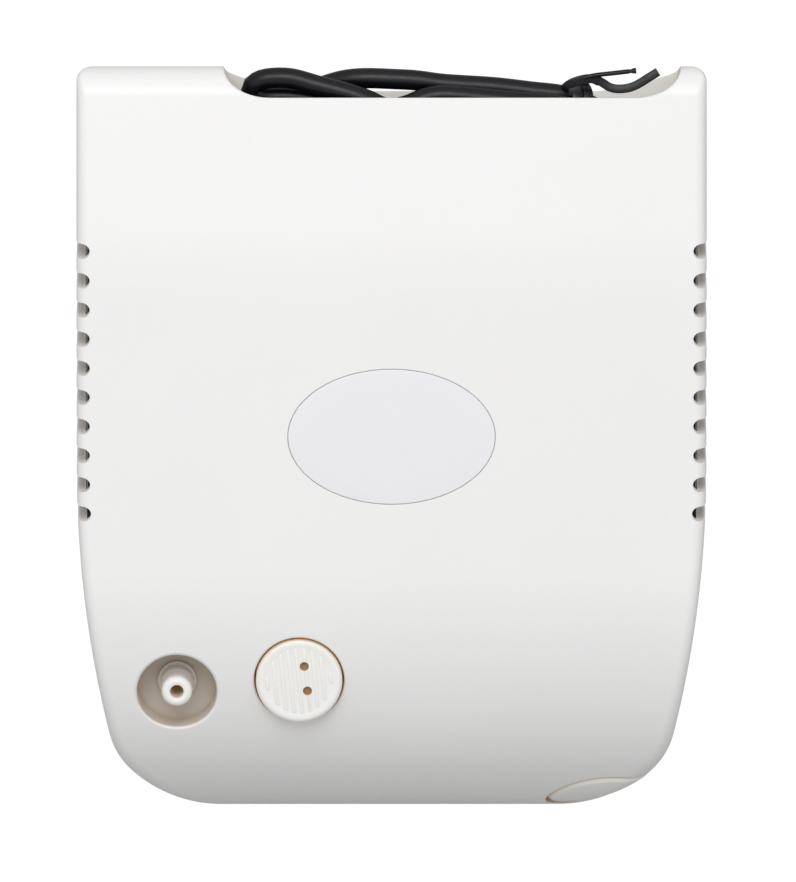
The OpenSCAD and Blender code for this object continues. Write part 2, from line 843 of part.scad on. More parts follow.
module head_screws() {
    color("silver") for (x = [-1, 1], y = [-1, 1])
        translate([bore_x + x * head_bolt, shaft_y + y * head_bolt, 0]) {
            translate([0, 0, deck_z - 12]) cylinder(r = 1.5, h = head_top - deck_z + 12.5);
            translate([0, 0, head_top + 0.02]) cylinder(r = 2.8, h = 2);
        }
}

module connecting_rod() {
    color("silver") difference() {
        union() {
            along_x(bore_x - 3, shaft_y, pin_z) cylinder(r = 12.2, h = 6);
            box([bore_x - 2.5, shaft_y - 4, pin_z + 8], [bore_x + 2.5, shaft_y + 4, crown_z + 1]);
            translate([bore_x, shaft_y, crown_z]) cylinder(r = 12, h = 3);
        }
        along_x(bore_x - 5, shaft_y, pin_z) cylinder(r = 9.5 + fit, h = 10);
        translate([bore_x, shaft_y, crown_z - 8]) cylinder(r = 1.52, h = 14);
    }
}

module crank_bearing() {
    color("silver") along_x(bore_x - 3, shaft_y, pin_z) tube(9.5, 3 + fit, 6);
}

module piston_cup() {
    color("dimgray") translate([bore_x, shaft_y, crown_z + 3.01]) difference() {
        rotate_extrude() polygon([
            [0, 0], [13.6, 0], [bore_r - 0.05, 1.2], [bore_r - 0.05, 3], [bore_r - 0.6, 3],
            [bore_r - 0.9, 1.4], [13.2, 0.8], [0, 0.8]
        ]);
        translate([0, 0, -1]) cylinder(r = 1.6, h = 4);
    }
}

module cup_retainer() {
    color("silver") translate([bore_x, shaft_y, crown_z + 3.83]) difference() {
        cylinder(r = 12.2, h = 1.6);
        translate([0, 0, -1]) cylinder(r = 1.6, h = 4);
        translate([0, 0, 0.5]) cylinder(r1 = 1.6, r2 = 2.72, h = 1.12);
    }
}

module retainer_screw() {
    color("silver") translate([bore_x, shaft_y, crown_z]) {
        translate([0, 0, -6]) cylinder(r = 1.5, h = 11);
        translate([0, 0, 4.36]) cylinder(r1 = 1.5, r2 = 2.58, h = 1.06);
    }
}

module crank_disc() {
    color("silver") difference() {
        union() {
            along_x(-16, shaft_y, shaft_z) cylinder(r = 9, h = 8);
            intersection() {
                along_x(-16, shaft_y, shaft_z) cylinder(r = 14, h = 5);
                box([-17, shaft_y - 14, shaft_z], [-5, shaft_y + 14, shaft_z + 15]);
            }
            along_x(bore_x - 4.5, shaft_y, pin_z) cylinder(r = 3, h = 9);
            along_x(-19.4, shaft_y, pin_z) cylinder(r = 4.5, h = 3.5);
        }
        along_x(-15, shaft_y, shaft_z) cylinder(r = shaft_r + fit, h = 10);
        translate([-11, shaft_y, shaft_z]) rotate([90, 0, 0]) cylinder(r = 1.52, h = 10);
    }
}

module crank_set_screw() {
    color("dimgray") translate([-11, shaft_y - shaft_r - 0.05, shaft_z]) rotate([90, 0, 0])
        cylinder(r = 1.5, h = 5.5);
}

// ---- motor ----

module motor_shaft() {
    color("silver") along_x(-14.9, shaft_y, shaft_z) cylinder(r = shaft_r, h = 75.9);
}

module rotor_core() {
    color("gray") along_x(stack_x0 + 0.5, shaft_y, shaft_z) tube(rotor_diameter / 2, shaft_r + fit, 25);
}

module rotor_end_rings() {
    color("silver") {
        along_x(stack_x0 - 1.6, shaft_y, shaft_z) tube(14, 8.5, 2.09);
        along_x(stack_x1 - 0.49, shaft_y, shaft_z) tube(14, 8.5, 2.09);
    }
}

module at_shade(a) {
    translate([0, shaft_y + shade_r * cos(a), shaft_z + shade_r * sin(a)]) rotate([0, 90, 0]) children();
}

module stator_core() {
    rotor_hole = rotor_diameter / 2 + air_gap;
    color("gray") difference() {
        union() {
            box([stack_x0, shaft_y - core_half, shaft_z - core_half],
                [stack_x1, shaft_y + core_half, shaft_z + core_half]);
            for (z = [shaft_z - core_half, shaft_z + core_half - 10])
                box([stack_x0, shaft_y, z], [stack_x1, yoke_y1, z + 10]);
            box([stack_x0, yoke_y0, shaft_z - 14], [stack_x1, yoke_y1, shaft_z + 14]);
        }
        along_x(stack_x0 - 1, shaft_y, shaft_z) cylinder(r = rotor_hole, h = 30);
        for (p = motor_bolt_places)
            along_x(stack_x0 - 1, p.x, p.y) cylinder(r = 2.1, h = 30);
        for (a = shade_angles)
            at_shade(a) translate([0, 0, stack_x0 - 1]) cylinder(r = 1.25, h = 30);
    }
}

module shading_rings() {
    bar_r = 1.2;
    bar_length = stack_x1 - stack_x0 + 2.8;
    color("darkorange") for (pair = [0, 2]) {
        for (a = [shade_angles[pair], shade_angles[pair + 1]])
            at_shade(a) translate([0, 0, stack_x0 - 1.4]) cylinder(r = bar_r, h = bar_length);
        for (x = [stack_x0 - 1.4, stack_x1 + 0.1])
            shading_link(shade_angles[pair], shade_angles[pair + 1], x);
    }
}

module shading_link(a0, a1, x) {
    mid = (a0 + a1) / 2;
    half = shade_r * sin((a1 - a0) / 2);
    reach = shade_r * cos((a1 - a0) / 2);
    translate([x, shaft_y + reach * cos(mid), shaft_z + reach * sin(mid)]) rotate([mid, 0, 0])
        translate([0, -0.6, -half]) cube([1.3, 1.2, 2 * half]);
}

module coil_bobbin() {
    color("whitesmoke") translate([21, 43, 0]) difference() {
        union() {
            bar(rounded_rect(28, 12, 1), shaft_z - 11.8, shaft_z + 11.8);
            bar(rounded_rect(40, 25, 2), shaft_z - 11.8, shaft_z - 10.4);
            bar(rounded_rect(40, 25, 2), shaft_z + 10.4, shaft_z + 11.8);
        }
        box([-13.05, -5.05, 0], [13.05, 5.05, 80]);
    }
}

module coil_winding() {
    color("peru") translate([21, 43, 0]) difference() {
        bar(rounded_rect(38, 23, 5), shaft_z - 10.38, shaft_z + 10.38);
        box([-14.02, -6.02, 0], [14.02, 6.02, 80]);
    }
}

module bearing_bracket(x, hub_x) {
    color("silver") difference() {
        union() {
            box([x, shaft_y - core_half + 2, shaft_z - 7], [x + 3, shaft_y + core_half - 2, shaft_z + 7]);
            for (p = motor_bolt_places)
                along_x(x, p.x, p.y) cylinder(r = 4.4, h = 3);
            for (reach = [-17, 17])
                box([x, shaft_y + reach - 3, shaft_z - max(0, reach)],
                    [x + 3, shaft_y + reach + 3, shaft_z - min(0, reach)]);
            along_x(hub_x, shaft_y, shaft_z) cylinder(r = 12, h = 7);
        }
        along_x(hub_x - 1, shaft_y, shaft_z) cylinder(r = 9.5 + fit, h = 9);
        for (p = motor_bolt_places)
            along_x(x - 1, p.x, p.y) cylinder(r = 2.1, h = 5);
    }
}

module bracket_spacers(x) {
    color("silver") for (p = motor_bolt_places)
        along_x(x, p.x, p.y) tube(3.6, 2.1, 2.99);
}

module drive_end_bracket() {
    bearing_bracket(stack_x0 - 6, stack_x0 - 10);
    bracket_spacers(stack_x0 - 3);
}

module fan_end_bracket() {
    bearing_bracket(stack_x1 + 3, stack_x1 + 3);
    bracket_spacers(stack_x1 + 0.01);
}

module motor_bearings() {
    color("gainsboro") {
        along_x(stack_x0 - 9.5, shaft_y, shaft_z) tube(9.5, shaft_r + fit, 6);
        along_x(stack_x1 + 3.5, shaft_y, shaft_z) tube(9.5, shaft_r + fit, 6);
    }
}

module motor_bolts() {
    color("silver") for (p = motor_bolt_places)
        translate([0, p.x, p.y]) {
            along_x(-0.6, 0, 0) cylinder(r = 2, h = stack_x1 + 7);
            along_x(stack_x1 + 6.02, 0, 0) cylinder(r = 3.5, h = 2.6);
            along_x(-0.2, 0, 0) difference() {
                cylinder(r = 3.9, h = 2.15, $fn = 6);
                translate([0, 0, -1]) cylinder(r = 2.02, h = 5);
            }
        }
}

module cooling_fan() {
    fan_r = 26;
    color("whitesmoke") along_x(50, shaft_y, shaft_z) difference() {
        union() {
            cylinder(r = 8, h = 9.5);
            for (i = [0:fan_blades - 1])
                rotate([0, 0, 360 * i / fan_blades]) translate([7, 0, 4.75]) rotate([32, 0, 0])
                    translate([0, -0.6, -4]) cube([fan_r - 7.4, 1.2, 8]);
        }
        translate([0, 0, -1]) cylinder(r = shaft_r + fit, h = 20);
    }
}

module thermal_cutout() {
    color("black") {
        box([13, 54.6, 34], [27, 58, 42]);
        for (x = [16, 23])
            box([x, 55.9, 41.9], [x + 1.2, 56.7, 47]);
    }
}

// ---- hoses and wires ----

// Path that leaves one spigot along d0 and runs onto another against d1
function hose_path(from, d0, pull0, to, d1, pull1, n) =
    let (a = from + d0 * spigot_grip, b = to + d1 * spigot_grip * 1.2)
    concat([from], bezier(a, a + d0 * pull0, b + d1 * pull1, b, n), [to]);

module intake_hose() {
    path = hose_path(intake_from, -port_axis, 26, intake_to, [0, -1, 0], 4, 20);
    color("lightgray") swept(path, 4, hose_bore, 14, [1, 0, 0]);
}

module outlet_hose() {
    path = hose_path(outlet_from, -port_axis, 22, outlet_to, [-1, 0, 0], 22, 24);
    color("lightgray") swept(path, 3.8, hose_bore, 14, [1, 0, 0]);
}

module hose_clips() {
    color("silver") {
        at_cap() translate([0, 0, -29]) tube(4.9, 4.05, 3);
        at_well() translate([0, 0, -24.5]) tube(4.7, 3.85, 3);
        translate([bore_x, intake_to.y - 4, intake_to.z]) rotate([90, 0, 0]) tube(4.9, 4.05, 3);
        along_x(outlet_to.x - 7, outlet_to.y, outlet_to.z) tube(4.7, 3.85, 3);
    }
}

module mains_wires() {
    wire_r = 1.1;
    start = bushing_at + [0, -7.5, 0];
    floor_run = [70, -6, 14];
    away = cross(button_side, button_out);
    color("lightgray") {
        for (side = [-1, 1]) {
            offset = [side * 1.5, 0, 0];
            from = start + offset;
            low = floor_run + offset;
            tip = button_at - button_out * 33 - away * (4 * side);
            leg = bezier(from, from + [4, -22, -14], low + [0, 26, 2], low, 12);
            rise = bezier(low, low + [0, -26, -2], tip - button_out * 24, tip - button_out * 4.2, 12);
            swept(concat(leg, [for (i = [1:12]) rise[i]]), wire_r, 0, 8);
        }
        lead = bezier(start + [0, 0, -3], start + [0, -8, -10], [44, 57, 62], [38, 50, 51.3], 10);
        swept(lead, wire_r, 0, 8);
    }
}

upper_shell();
lower_shell();
rubber_feet();
case_screws();
oval_badge();
air_outlet_nozzle();
outlet_seal();
outlet_nut();
filter_cap();
filter_element();
filter_socket();
power_button();
switch_bracket();
switch_body();
switch_plunger();
switch_terminals();
power_cord();
cord_bushing();
cord_tie();
plug_body();
plug_pins();
pump_base();
rubber_mounts();
mount_screws();
crankcase();
crankcase_screws();
cylinder_sleeve();
valve_plate();
intake_reed();
exhaust_reed();
head_gasket();
cylinder_head();
head_screws();
connecting_rod();
crank_bearing();
piston_cup();
cup_retainer();
retainer_screw();
crank_disc();
crank_set_screw();
motor_shaft();
rotor_core();
rotor_end_rings();
stator_core();
shading_rings();
coil_bobbin();
coil_winding();
drive_end_bracket();
fan_end_bracket();
motor_bearings();
motor_bolts();
cooling_fan();
thermal_cutout();
intake_hose();
outlet_hose();
hose_clips();
mains_wires();
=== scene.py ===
import json
import math

import bmesh
import bpy
import numpy as np
from mathutils import Matrix, Vector


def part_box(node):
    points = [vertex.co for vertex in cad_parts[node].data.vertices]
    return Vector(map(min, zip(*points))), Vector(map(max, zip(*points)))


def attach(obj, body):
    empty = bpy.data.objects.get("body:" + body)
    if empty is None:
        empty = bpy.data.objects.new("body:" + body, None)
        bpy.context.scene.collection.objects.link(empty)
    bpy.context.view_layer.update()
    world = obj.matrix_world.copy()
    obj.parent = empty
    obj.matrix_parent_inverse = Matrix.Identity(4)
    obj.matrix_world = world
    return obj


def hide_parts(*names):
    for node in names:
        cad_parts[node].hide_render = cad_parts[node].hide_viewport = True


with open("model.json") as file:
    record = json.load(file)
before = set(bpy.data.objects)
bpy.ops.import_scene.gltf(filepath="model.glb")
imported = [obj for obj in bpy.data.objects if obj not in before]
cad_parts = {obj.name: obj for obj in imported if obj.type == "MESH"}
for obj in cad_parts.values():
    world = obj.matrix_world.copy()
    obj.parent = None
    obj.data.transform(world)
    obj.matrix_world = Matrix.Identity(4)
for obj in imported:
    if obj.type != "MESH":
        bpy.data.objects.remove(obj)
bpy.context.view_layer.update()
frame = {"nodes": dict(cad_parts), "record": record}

# A tabletop nebulizer seen from straight above. Shapes are worked out in millimetres in the CAD
# frame (+Z up, front towards -Y) and written to the meshes in metres.
MM = 0.001

# ---------------------------------------------------------------- case dimensions

shell_low, shell_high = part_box("upper_shell")
HALF_W = shell_high.x / MM
Y_REAR = shell_high.y / MM
Y_FRONT = shell_low.y / MM
TOP_Z = shell_high.z / MM
PARTING_Z = shell_low.z / MM
BASE_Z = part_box("lower_shell")[0].z / MM
WALL = 2.4

# Plan outline: straight sides, a long side arc, a blend arc and the front corner arc
SIDE_R = 300
SIDE_BEND_Y = -8
BLEND_R = 20
CORNER_R = 35
CORNER_X = HALF_W - 38
CORNER_Y = Y_FRONT + CORNER_R
REAR_CORNER_R = 4
SHARPEST_R = 0.1

# Side profile: front arc, shoulder arc, sloping panel, crown arc, flat crown, rear rounding
SLOPE = math.radians(6)
SHOULDER_TURN = math.radians(33)
FRONT_R = 56
SHOULDER_R = 82
CROWN_R = 182
REAR_R = 8
CROWN_Y = 55
CROWN_CZ = TOP_Z - CROWN_R
PANEL_REAR_Y = CROWN_Y - CROWN_R * math.sin(SLOPE)
PANEL_REAR_Z = CROWN_CZ + CROWN_R * math.cos(SLOPE)
FRONT_CY = Y_FRONT + FRONT_R
SHOULDER_CY = FRONT_CY + (SHOULDER_R - FRONT_R) * math.sin(SHOULDER_TURN)
PANEL_FRONT_Y = SHOULDER_CY - SHOULDER_R * math.sin(SLOPE)
PANEL_FRONT_Z = PANEL_REAR_Z - (PANEL_REAR_Y - PANEL_FRONT_Y) * math.tan(SLOPE)
SHOULDER_CZ = PANEL_FRONT_Z - SHOULDER_R * math.cos(SLOPE)
FRONT_CZ = SHOULDER_CZ + (SHOULDER_R - FRONT_R) * math.cos(SHOULDER_TURN)
REAR_CY = Y_REAR - REAR_R
REAR_CZ = TOP_Z - REAR_R
EDGE_R = 3.0

# Vents
VENT_COUNT = 10
VENT_PITCH = 7.9
VENT_REAR_Y = 50.1
VENT_HALF = 2.0
VENT_LEAN = math.radians(16)

# Ports lean forward by the same angle
PORT_LEAN = math.radians(15)
WELL_X, WELL_Y, WELL_R, WELL_DEPTH = -56.7, -67.4, 10.55, 13.0
CAP_X, CAP_Y, CAP_R = -24.4, -64.5, 11.5
BADGE_A, BADGE_B = 27.4, 17.95

# Power button on the front right corner
BUTTON_R = 16.35
BUTTON_TURN = math.radians(23)
BUTTON_LIFT = math.radians(15)
BUTTON_Z = 38.0

# Cord bay
BAY_LEFT, BAY_RIGHT, BAY_FRONT, BAY_FLOOR = -44.2, 76.2, 62.0, 40.0
LIP_DEPTH, GROOVE_DEPTH, GROOVE_REACH = 8.4, 5.8, 21.0


def blend_centre():
    """Centre of the blend arc, which touches the side arc and the corner arc."""
    side = Vector((HALF_W - SIDE_R, SIDE_BEND_Y))
    gap = Vector((CORNER_X, CORNER_Y)) - side
    far, near = SIDE_R - BLEND_R, CORNER_R - BLEND_R
    along = (far ** 2 - near ** 2 + gap.length ** 2) / (2 * gap.length)
    off = math.sqrt(far ** 2 - along ** 2)
    u = gap.normalized()
    return side + u * along + Vector((u.y, -u.x)) * off


BLEND_X, BLEND_Y = blend_centre()
SIDE_END = math.atan2(BLEND_Y - SIDE_BEND_Y, BLEND_X - (HALF_W - SIDE_R))
CORNER_START = math.atan2(BLEND_Y - CORNER_Y, BLEND_X - CORNER_X)


def root(v):
    return np.sqrt(np.maximum(v, 0))


def half_width(y, t=0.0):
    """Half-width of the case at y, on the outline drawn in by t."""
    y, t = np.broadcast_arrays(np.asarray(y, float), np.asarray(t, float))
    rear = HALF_W - REAR_CORNER_R + root((REAR_CORNER_R - t) ** 2 - (y - Y_REAR + REAR_CORNER_R) ** 2)
    side = HALF_W - t
    bend = HALF_W - SIDE_R + root((SIDE_R - t) ** 2 - (y - SIDE_BEND_Y) ** 2)
    blend = BLEND_X + root((BLEND_R - t) ** 2 - (y - BLEND_Y) ** 2)
    corner = CORNER_X + root((CORNER_R - t) ** 2 - (y - CORNER_Y) ** 2)
    y_blend = SIDE_BEND_Y + (SIDE_R - t) * math.sin(SIDE_END)
    y_corner = BLEND_Y + (BLEND_R - t) * math.sin(CORNER_START)
    return np.select([y < y_corner, y < y_blend, y < SIDE_BEND_Y, y < Y_REAR - REAR_CORNER_R],
                     [corner, blend, bend, side], rear)


def profile_height(y, t=0.0):
    """Height of the side profile at y, on the profile drawn in by t."""
    y, t = np.broadcast_arrays(np.asarray(y, float), np.asarray(t, float))
    front = FRONT_CZ + root((FRONT_R - t) ** 2 - (y - FRONT_CY) ** 2)
    shoulder = SHOULDER_CZ + root((SHOULDER_R - t) ** 2 - (y - SHOULDER_CY) ** 2)
    panel = PANEL_REAR_Z - (PANEL_REAR_Y - y) * math.tan(SLOPE) - t / math.cos(SLOPE)
    crown = CROWN_CZ + root((CROWN_R - t) ** 2 - (y - CROWN_Y) ** 2)
    rear = REAR_CZ + root((REAR_R - t) ** 2 - (y - REAR_CY) ** 2)
    y_shoulder = FRONT_CY - (FRONT_R - t) * math.sin(SHOULDER_TURN)
    y_panel = SHOULDER_CY - (SHOULDER_R - t) * math.sin(SLOPE)
    y_crown = CROWN_Y - (CROWN_R - t) * math.sin(SLOPE)
    return np.select([y < y_shoulder, y < y_panel, y < y_crown, y < CROWN_Y, y < REAR_CY],
                     [front, shoulder, panel, crown, TOP_Z - t], rear)


def edge_radius(y):
    """Radius of the rounded edge between top and side; it fades out at the front and the rear."""
    ahead = np.maximum(np.asarray(y, float) - Y_FRONT, 0)
    behind = np.maximum(Y_REAR - np.asarray(y, float), 0)
    return EDGE_R * np.tanh(0.6 * ahead / EDGE_R) * np.tanh(0.6 * behind / EDGE_R)


def surface_height(x, y):
    """Height of the finished outer surface over a plan point inside the outline."""
    x, y = np.broadcast_arrays(np.abs(np.asarray(x, float)), np.asarray(y, float))
    r = edge_radius(y)
    inset = np.clip(half_width(y) - x, 0, None)
    slant = np.clip((half_width(y + 0.01) - half_width(y - 0.01)) / 0.02, -20, 20)
    inset = inset / np.sqrt(1 + slant ** 2)
    along = np.clip(r - inset, 0, r)
    return profile_height(y, r - root(r ** 2 - along ** 2))


# ---------------------------------------------------------------- mesh helpers

def mesh_object(name, verts, faces, smooth=True):
    """New object from millimetre vertices."""
    mesh = bpy.data.meshes.new(name)
    mesh.from_pydata([tuple(float(c) * MM for c in v) for v in verts], [], faces)
    mesh.polygons.foreach_set("use_smooth", [smooth] * len(mesh.polygons))
    mesh.update()
    obj = bpy.data.objects.new(name, mesh)
    bpy.context.scene.collection.objects.link(obj)
    return obj


def tidy(obj, merge=1e-7, recalc=True):
    """Welds points and points every face outwards."""
    bm = bmesh.new()
    bm.from_mesh(obj.data)
    bmesh.ops.remove_doubles(bm, verts=bm.verts, dist=merge)
    bmesh.ops.dissolve_degenerate(bm, edges=bm.edges, dist=merge)
    if recalc:
        bmesh.ops.recalc_face_normals(bm, faces=bm.faces)
    bm.to_mesh(obj.data)
    bm.free()
    return obj


def rings_object(name, rings, closed_ends=True):
    """Closed shape through rings of points that all have the same count."""
    n = len(rings[0])
    verts = [p for ring in rings for p in ring]
    faces = []
    for i in range(len(rings) - 1):
        for k in range(n):
            q = (k + 1) % n
            faces.append((i * n + k, i * n + q, (i + 1) * n + q, (i + 1) * n + k))
    if closed_ends:
        faces.append(tuple(reversed(range(n))))
        faces.append(tuple(range((len(rings) - 1) * n, len(rings) * n)))
    return tidy(mesh_object(name, verts, faces))


def looped_rings(name, rings):
    """Closed shape whose last ring joins its first, such as a tube or a frame."""
    n, count = len(rings[0]), len(rings)
    verts = [p for ring in rings for p in ring]
    faces = [(i * n + k, i * n + (k + 1) % n, ((i + 1) % count) * n + (k + 1) % n, ((i + 1) % count) * n + k)
             for i in range(count) for k in range(n)]
    return tidy(mesh_object(name, verts, faces))


def combine(obj, tool, operation):
    """Boolean of two closed meshes; the tool is used up."""
    modifier = obj.modifiers.new("cut", "BOOLEAN")
    modifier.operation = operation
    modifier.solver = "MANIFOLD"
    modifier.object = tool
    depsgraph = bpy.context.evaluated_depsgraph_get()
    depsgraph.update()
    mesh = bpy.data.meshes.new_from_object(obj.evaluated_get(depsgraph))
    if len(mesh.polygons) == 0:
        print("EMPTY after", operation, tool.name)
    obj.modifiers.remove(modifier)
    old = obj.data
    obj.data = mesh
    bpy.data.meshes.remove(old)
    mesh_used = tool.data
    bpy.data.objects.remove(tool)
    bpy.data.meshes.remove(mesh_used)
    return obj


def cut(obj, *tools):
    for tool in tools:
        combine(obj, tool, "DIFFERENCE")
    return obj


def join(obj, *tools):
    for tool in tools:
        combine(obj, tool, "UNION")
    return obj


def common(obj, tool):
    return combine(obj, tool, "INTERSECT")


def sharpen(obj, degrees=32):
    """Smooth shading, with hard edges where faces meet at more than this angle."""
    bm = bmesh.new()
    bm.from_mesh(obj.data)
    limit = math.radians(degrees)
    for face in bm.faces:
        face.smooth = True
    for edge in bm.edges:
        edge.smooth = len(edge.link_faces) == 2 and edge.calc_face_angle(0) < limit
    bm.to_mesh(obj.data)
    bm.free()
    return obj


def frame_at(origin, axis, side=(1, 0, 0)):
    """Origin and three unit axes: across, second across, and along the axis."""
    e3 = Vector(axis).normalized()
    e1 = (Vector(side) - e3 * Vector(side).dot(e3)).normalized()
    e2 = e3.cross(e1)
    return Vector(origin), e1, e2, e3


def place(axes, x, y, z):
    o, e1, e2, e3 = axes
    return o + e1 * x + e2 * y + e3 * z


def lathe(name, axes, profile, steps=96):
    """Turned shape: profile is a list of (radius, height) from one end to the other."""
    rings = []
    for r, h in profile:
        rings.append([place(axes, max(r, 1e-4) * math.cos(a), max(r, 1e-4) * math.sin(a), h)
                      for a in (2 * math.pi * k / steps for k in range(steps))])
    return tidy(rings_object(name, rings), merge=2e-7)


def quarter(cx, cy, r, a0, a1, n=6):
    """Points of an arc as (radius, height) pairs, angles in degrees."""
    return [(cx + r * math.cos(math.radians(a0 + (a1 - a0) * i / n)),
             cy + r * math.sin(math.radians(a0 + (a1 - a0) * i / n))) for i in range(n + 1)]


def block(name, low, high, round_r=0.0, segments=3):
    """Box between two corners, in millimetres, with rounded edges."""
    low, high = Vector(low), Vector(high)
    bm = bmesh.new()
    bmesh.ops.create_cube(bm, size=1)
    for v in bm.verts:
        v.co = Vector([(low[i] + high[i]) / 2 + v.co[i] * (high[i] - low[i]) for i in range(3)]) * MM
    if round_r > 0:
        bmesh.ops.bevel(bm, geom=bm.edges[:], offset=round_r * MM, segments=segments, profile=0.5,
                        affect="EDGES", clamp_overlap=True)
    mesh = bpy.data.meshes.new(name)
    bm.to_mesh(mesh)
    bm.free()
    obj = bpy.data.objects.new(name, mesh)
    bpy.context.scene.collection.objects.link(obj)
    return obj


def move_mesh(obj, axes):
    """Moves a mesh built in millimetres round the origin into a local frame."""
    o, e1, e2, e3 = axes
    m = Matrix(((e1.x, e2.x, e3.x, o.x * MM), (e1.y, e2.y, e3.y, o.y * MM), (e1.z, e2.z, e3.z, o.z * MM),
                (0, 0, 0, 1)))
    obj.data.transform(m)
    return obj


def join_meshes(name, objects):
    """One object from several separate closed meshes."""
    bm = bmesh.new()
    for o in objects:
        bm.from_mesh(o.data)
        mesh = o.data
        bpy.data.objects.remove(o)
        bpy.data.meshes.remove(mesh)
    mesh = bpy.data.meshes.new(name)
    bm.to_mesh(mesh)
    bm.free()
    obj = bpy.data.objects.new(name, mesh)
    bpy.context.scene.collection.objects.link(obj)
    return obj


# ---------------------------------------------------------------- case solids

def spread(a, b, n):
    return [a + (b - a) * i / n for i in range(n)]


def case_rows(t=0.0, fine=1.0):
    """Values of y across the case, close together where the profile curves."""
    front_r, shoulder_r, rear_r = FRONT_R - t, SHOULDER_R - t, REAR_R - t
    count = lambda n: max(int(n * fine), 2)
    rows = [FRONT_CY - front_r * math.sin(math.radians(a)) for a in spread(90, 33, count(34))]
    rows += [SHOULDER_CY - shoulder_r * math.sin(math.radians(a)) for a in spread(33, 6, count(18))]
    panel_front = SHOULDER_CY - shoulder_r * math.sin(SLOPE)
    crown_front = CROWN_Y - (CROWN_R - t) * math.sin(SLOPE)
    rows += spread(panel_front, crown_front, count(36))
    rows += spread(crown_front, CROWN_Y, count(10))
    rows += spread(CROWN_Y, REAR_CY, count(18))
    rows += [REAR_CY + rear_r * math.sin(math.radians(a)) for a in spread(0, 90, count(14))]
    return rows + [Y_REAR - t]


def case_solid(name, t, low_z, rounded, fine=1.0, columns=34, steps=7):
    """Closed upper case drawn in by t: a grid of rows over the top, then walls down to low_z."""
    rows = case_rows(t, fine)
    grid = []
    for y in rows:
        r = float(edge_radius(y)) if rounded else 0.0
        side = []
        for k in range(steps + 1 if rounded else 1):
            a = math.radians(90 * (1 - k / steps))
            inset, drop = r * (1 - math.sin(a)), r * (1 - math.cos(a))
            if not rounded:
                inset = drop = 0.0
            side.append((float(half_width(y, t + inset)), float(profile_height(y, t + drop))))
        inner = side[-1][0]
        z = float(profile_height(y, t))
        side += [(inner * (1 - i / columns), z) for i in range(1, columns + 1)]
        line = [(x, y, z) for x, z in side]
        grid.append(line + [(-x, y, z) for x, y, z in reversed(line[:-1])])
    n = len(grid[0])
    verts = [p for line in grid for p in line]
    faces = []
    for i in range(len(grid) - 1):
        for k in range(n - 1):
            faces.append((i * n + k, (i + 1) * n + k, (i + 1) * n + k + 1, i * n + k + 1))
    loop = [k for k in range(n)]
    loop += [i * n + n - 1 for i in range(1, len(grid))]
    loop += [(len(grid) - 1) * n + k for k in range(n - 2, -1, -1)]
    loop += [i * n for i in range(len(grid) - 2, 0, -1)]
    levels = 6
    previous = loop
    for step in range(1, levels + 1):
        start = len(verts)
        for index in loop:
            x, y, z = verts[index]
            verts.append((x, y, z + (low_z - z) * step / levels))
        current = list(range(start, start + len(loop)))
        for k in range(len(loop)):
            q = (k + 1) % len(loop)
            faces.append((previous[k], previous[q], current[q], current[k]))
        previous = current
    faces.append(tuple(previous))
    return tidy(mesh_object(name, verts, faces))


def outline(t, n_corner=26, n_side=30):
    """Closed plan outline drawn in by t, anticlockwise from the front centre."""
    rear_r = max(REAR_CORNER_R - t, SHARPEST_R)
    arcs = [
        (CORNER_X, CORNER_Y, CORNER_R - t, -math.pi / 2, CORNER_START, n_corner),
        (BLEND_X, BLEND_Y, BLEND_R - t, CORNER_START, SIDE_END, 12),
        (HALF_W - SIDE_R, SIDE_BEND_Y, SIDE_R - t, SIDE_END, 0.0, n_side),
        (HALF_W - t - rear_r, Y_REAR - t - rear_r, rear_r, 0.0, math.pi / 2, 8),
    ]
    right = []
    for cx, cy, r, a0, a1, n in arcs:
        right += [(cx + r * math.cos(a0 + (a1 - a0) * i / n), cy + r * math.sin(a0 + (a1 - a0) * i / n))
                  for i in range(n + 1)]
    return right + [(-x, y) for x, y in reversed(right)]


def prism(name, plan, z0, z1):
    return rings_object(name, [[(x, y, z0) for x, y in plan], [(x, y, z1) for x, y in plan]])


def hollow_plan(depth, grow=0.0, n=14):
    """Outline of the hollow in the rear edge, with curved ends, grown outwards by grow."""
    reach, top = 12.0, Y_REAR + 3
    curve = [(reach * (1 - math.cos(math.pi / 2 * i / n)), (depth + grow) * math.sin(math.pi / 2 * i / n))
             for i in range(n + 1)]
    left = [(BAY_LEFT - grow, top)] + [(BAY_LEFT - grow + dx, Y_REAR - dy) for dx, dy in curve]
    middle = 24
    x0, x1 = BAY_LEFT - grow + reach, BAY_RIGHT + grow - reach
    flat = [(x0 + (x1 - x0) * i / middle, Y_REAR - depth - grow) for i in range(1, middle)]
    right = [(BAY_RIGHT + grow - dx, Y_REAR - dy) for dx, dy in reversed(curve)] + [(BAY_RIGHT + grow, top)]
    return left + flat + right


def groove_plan(grow=0.0, n=16):
    """Outline of the groove below the hollow, which deepens quickly and then slowly from its ends."""
    reach, deep, top = GROOVE_REACH + grow, GROOVE_DEPTH + grow, Y_REAR + 3
    curve = [(reach * (i / n) ** 1.6, deep * (i / n) ** 1.04) for i in range(n + 1)]
    left = [(BAY_LEFT - grow, top)] + [(BAY_LEFT - grow + dx, Y_REAR - dy) for dx, dy in curve]
    x0, x1 = BAY_LEFT - grow + reach, BAY_RIGHT + grow - reach
    middle = 20
    flat = [(x0 + (x1 - x0) * i / middle, Y_REAR - deep) for i in range(1, middle)]
    right = [(BAY_RIGHT + grow - dx, Y_REAR - dy) for dx, dy in reversed(curve)] + [(BAY_RIGHT + grow, top)]
    return left + flat + right


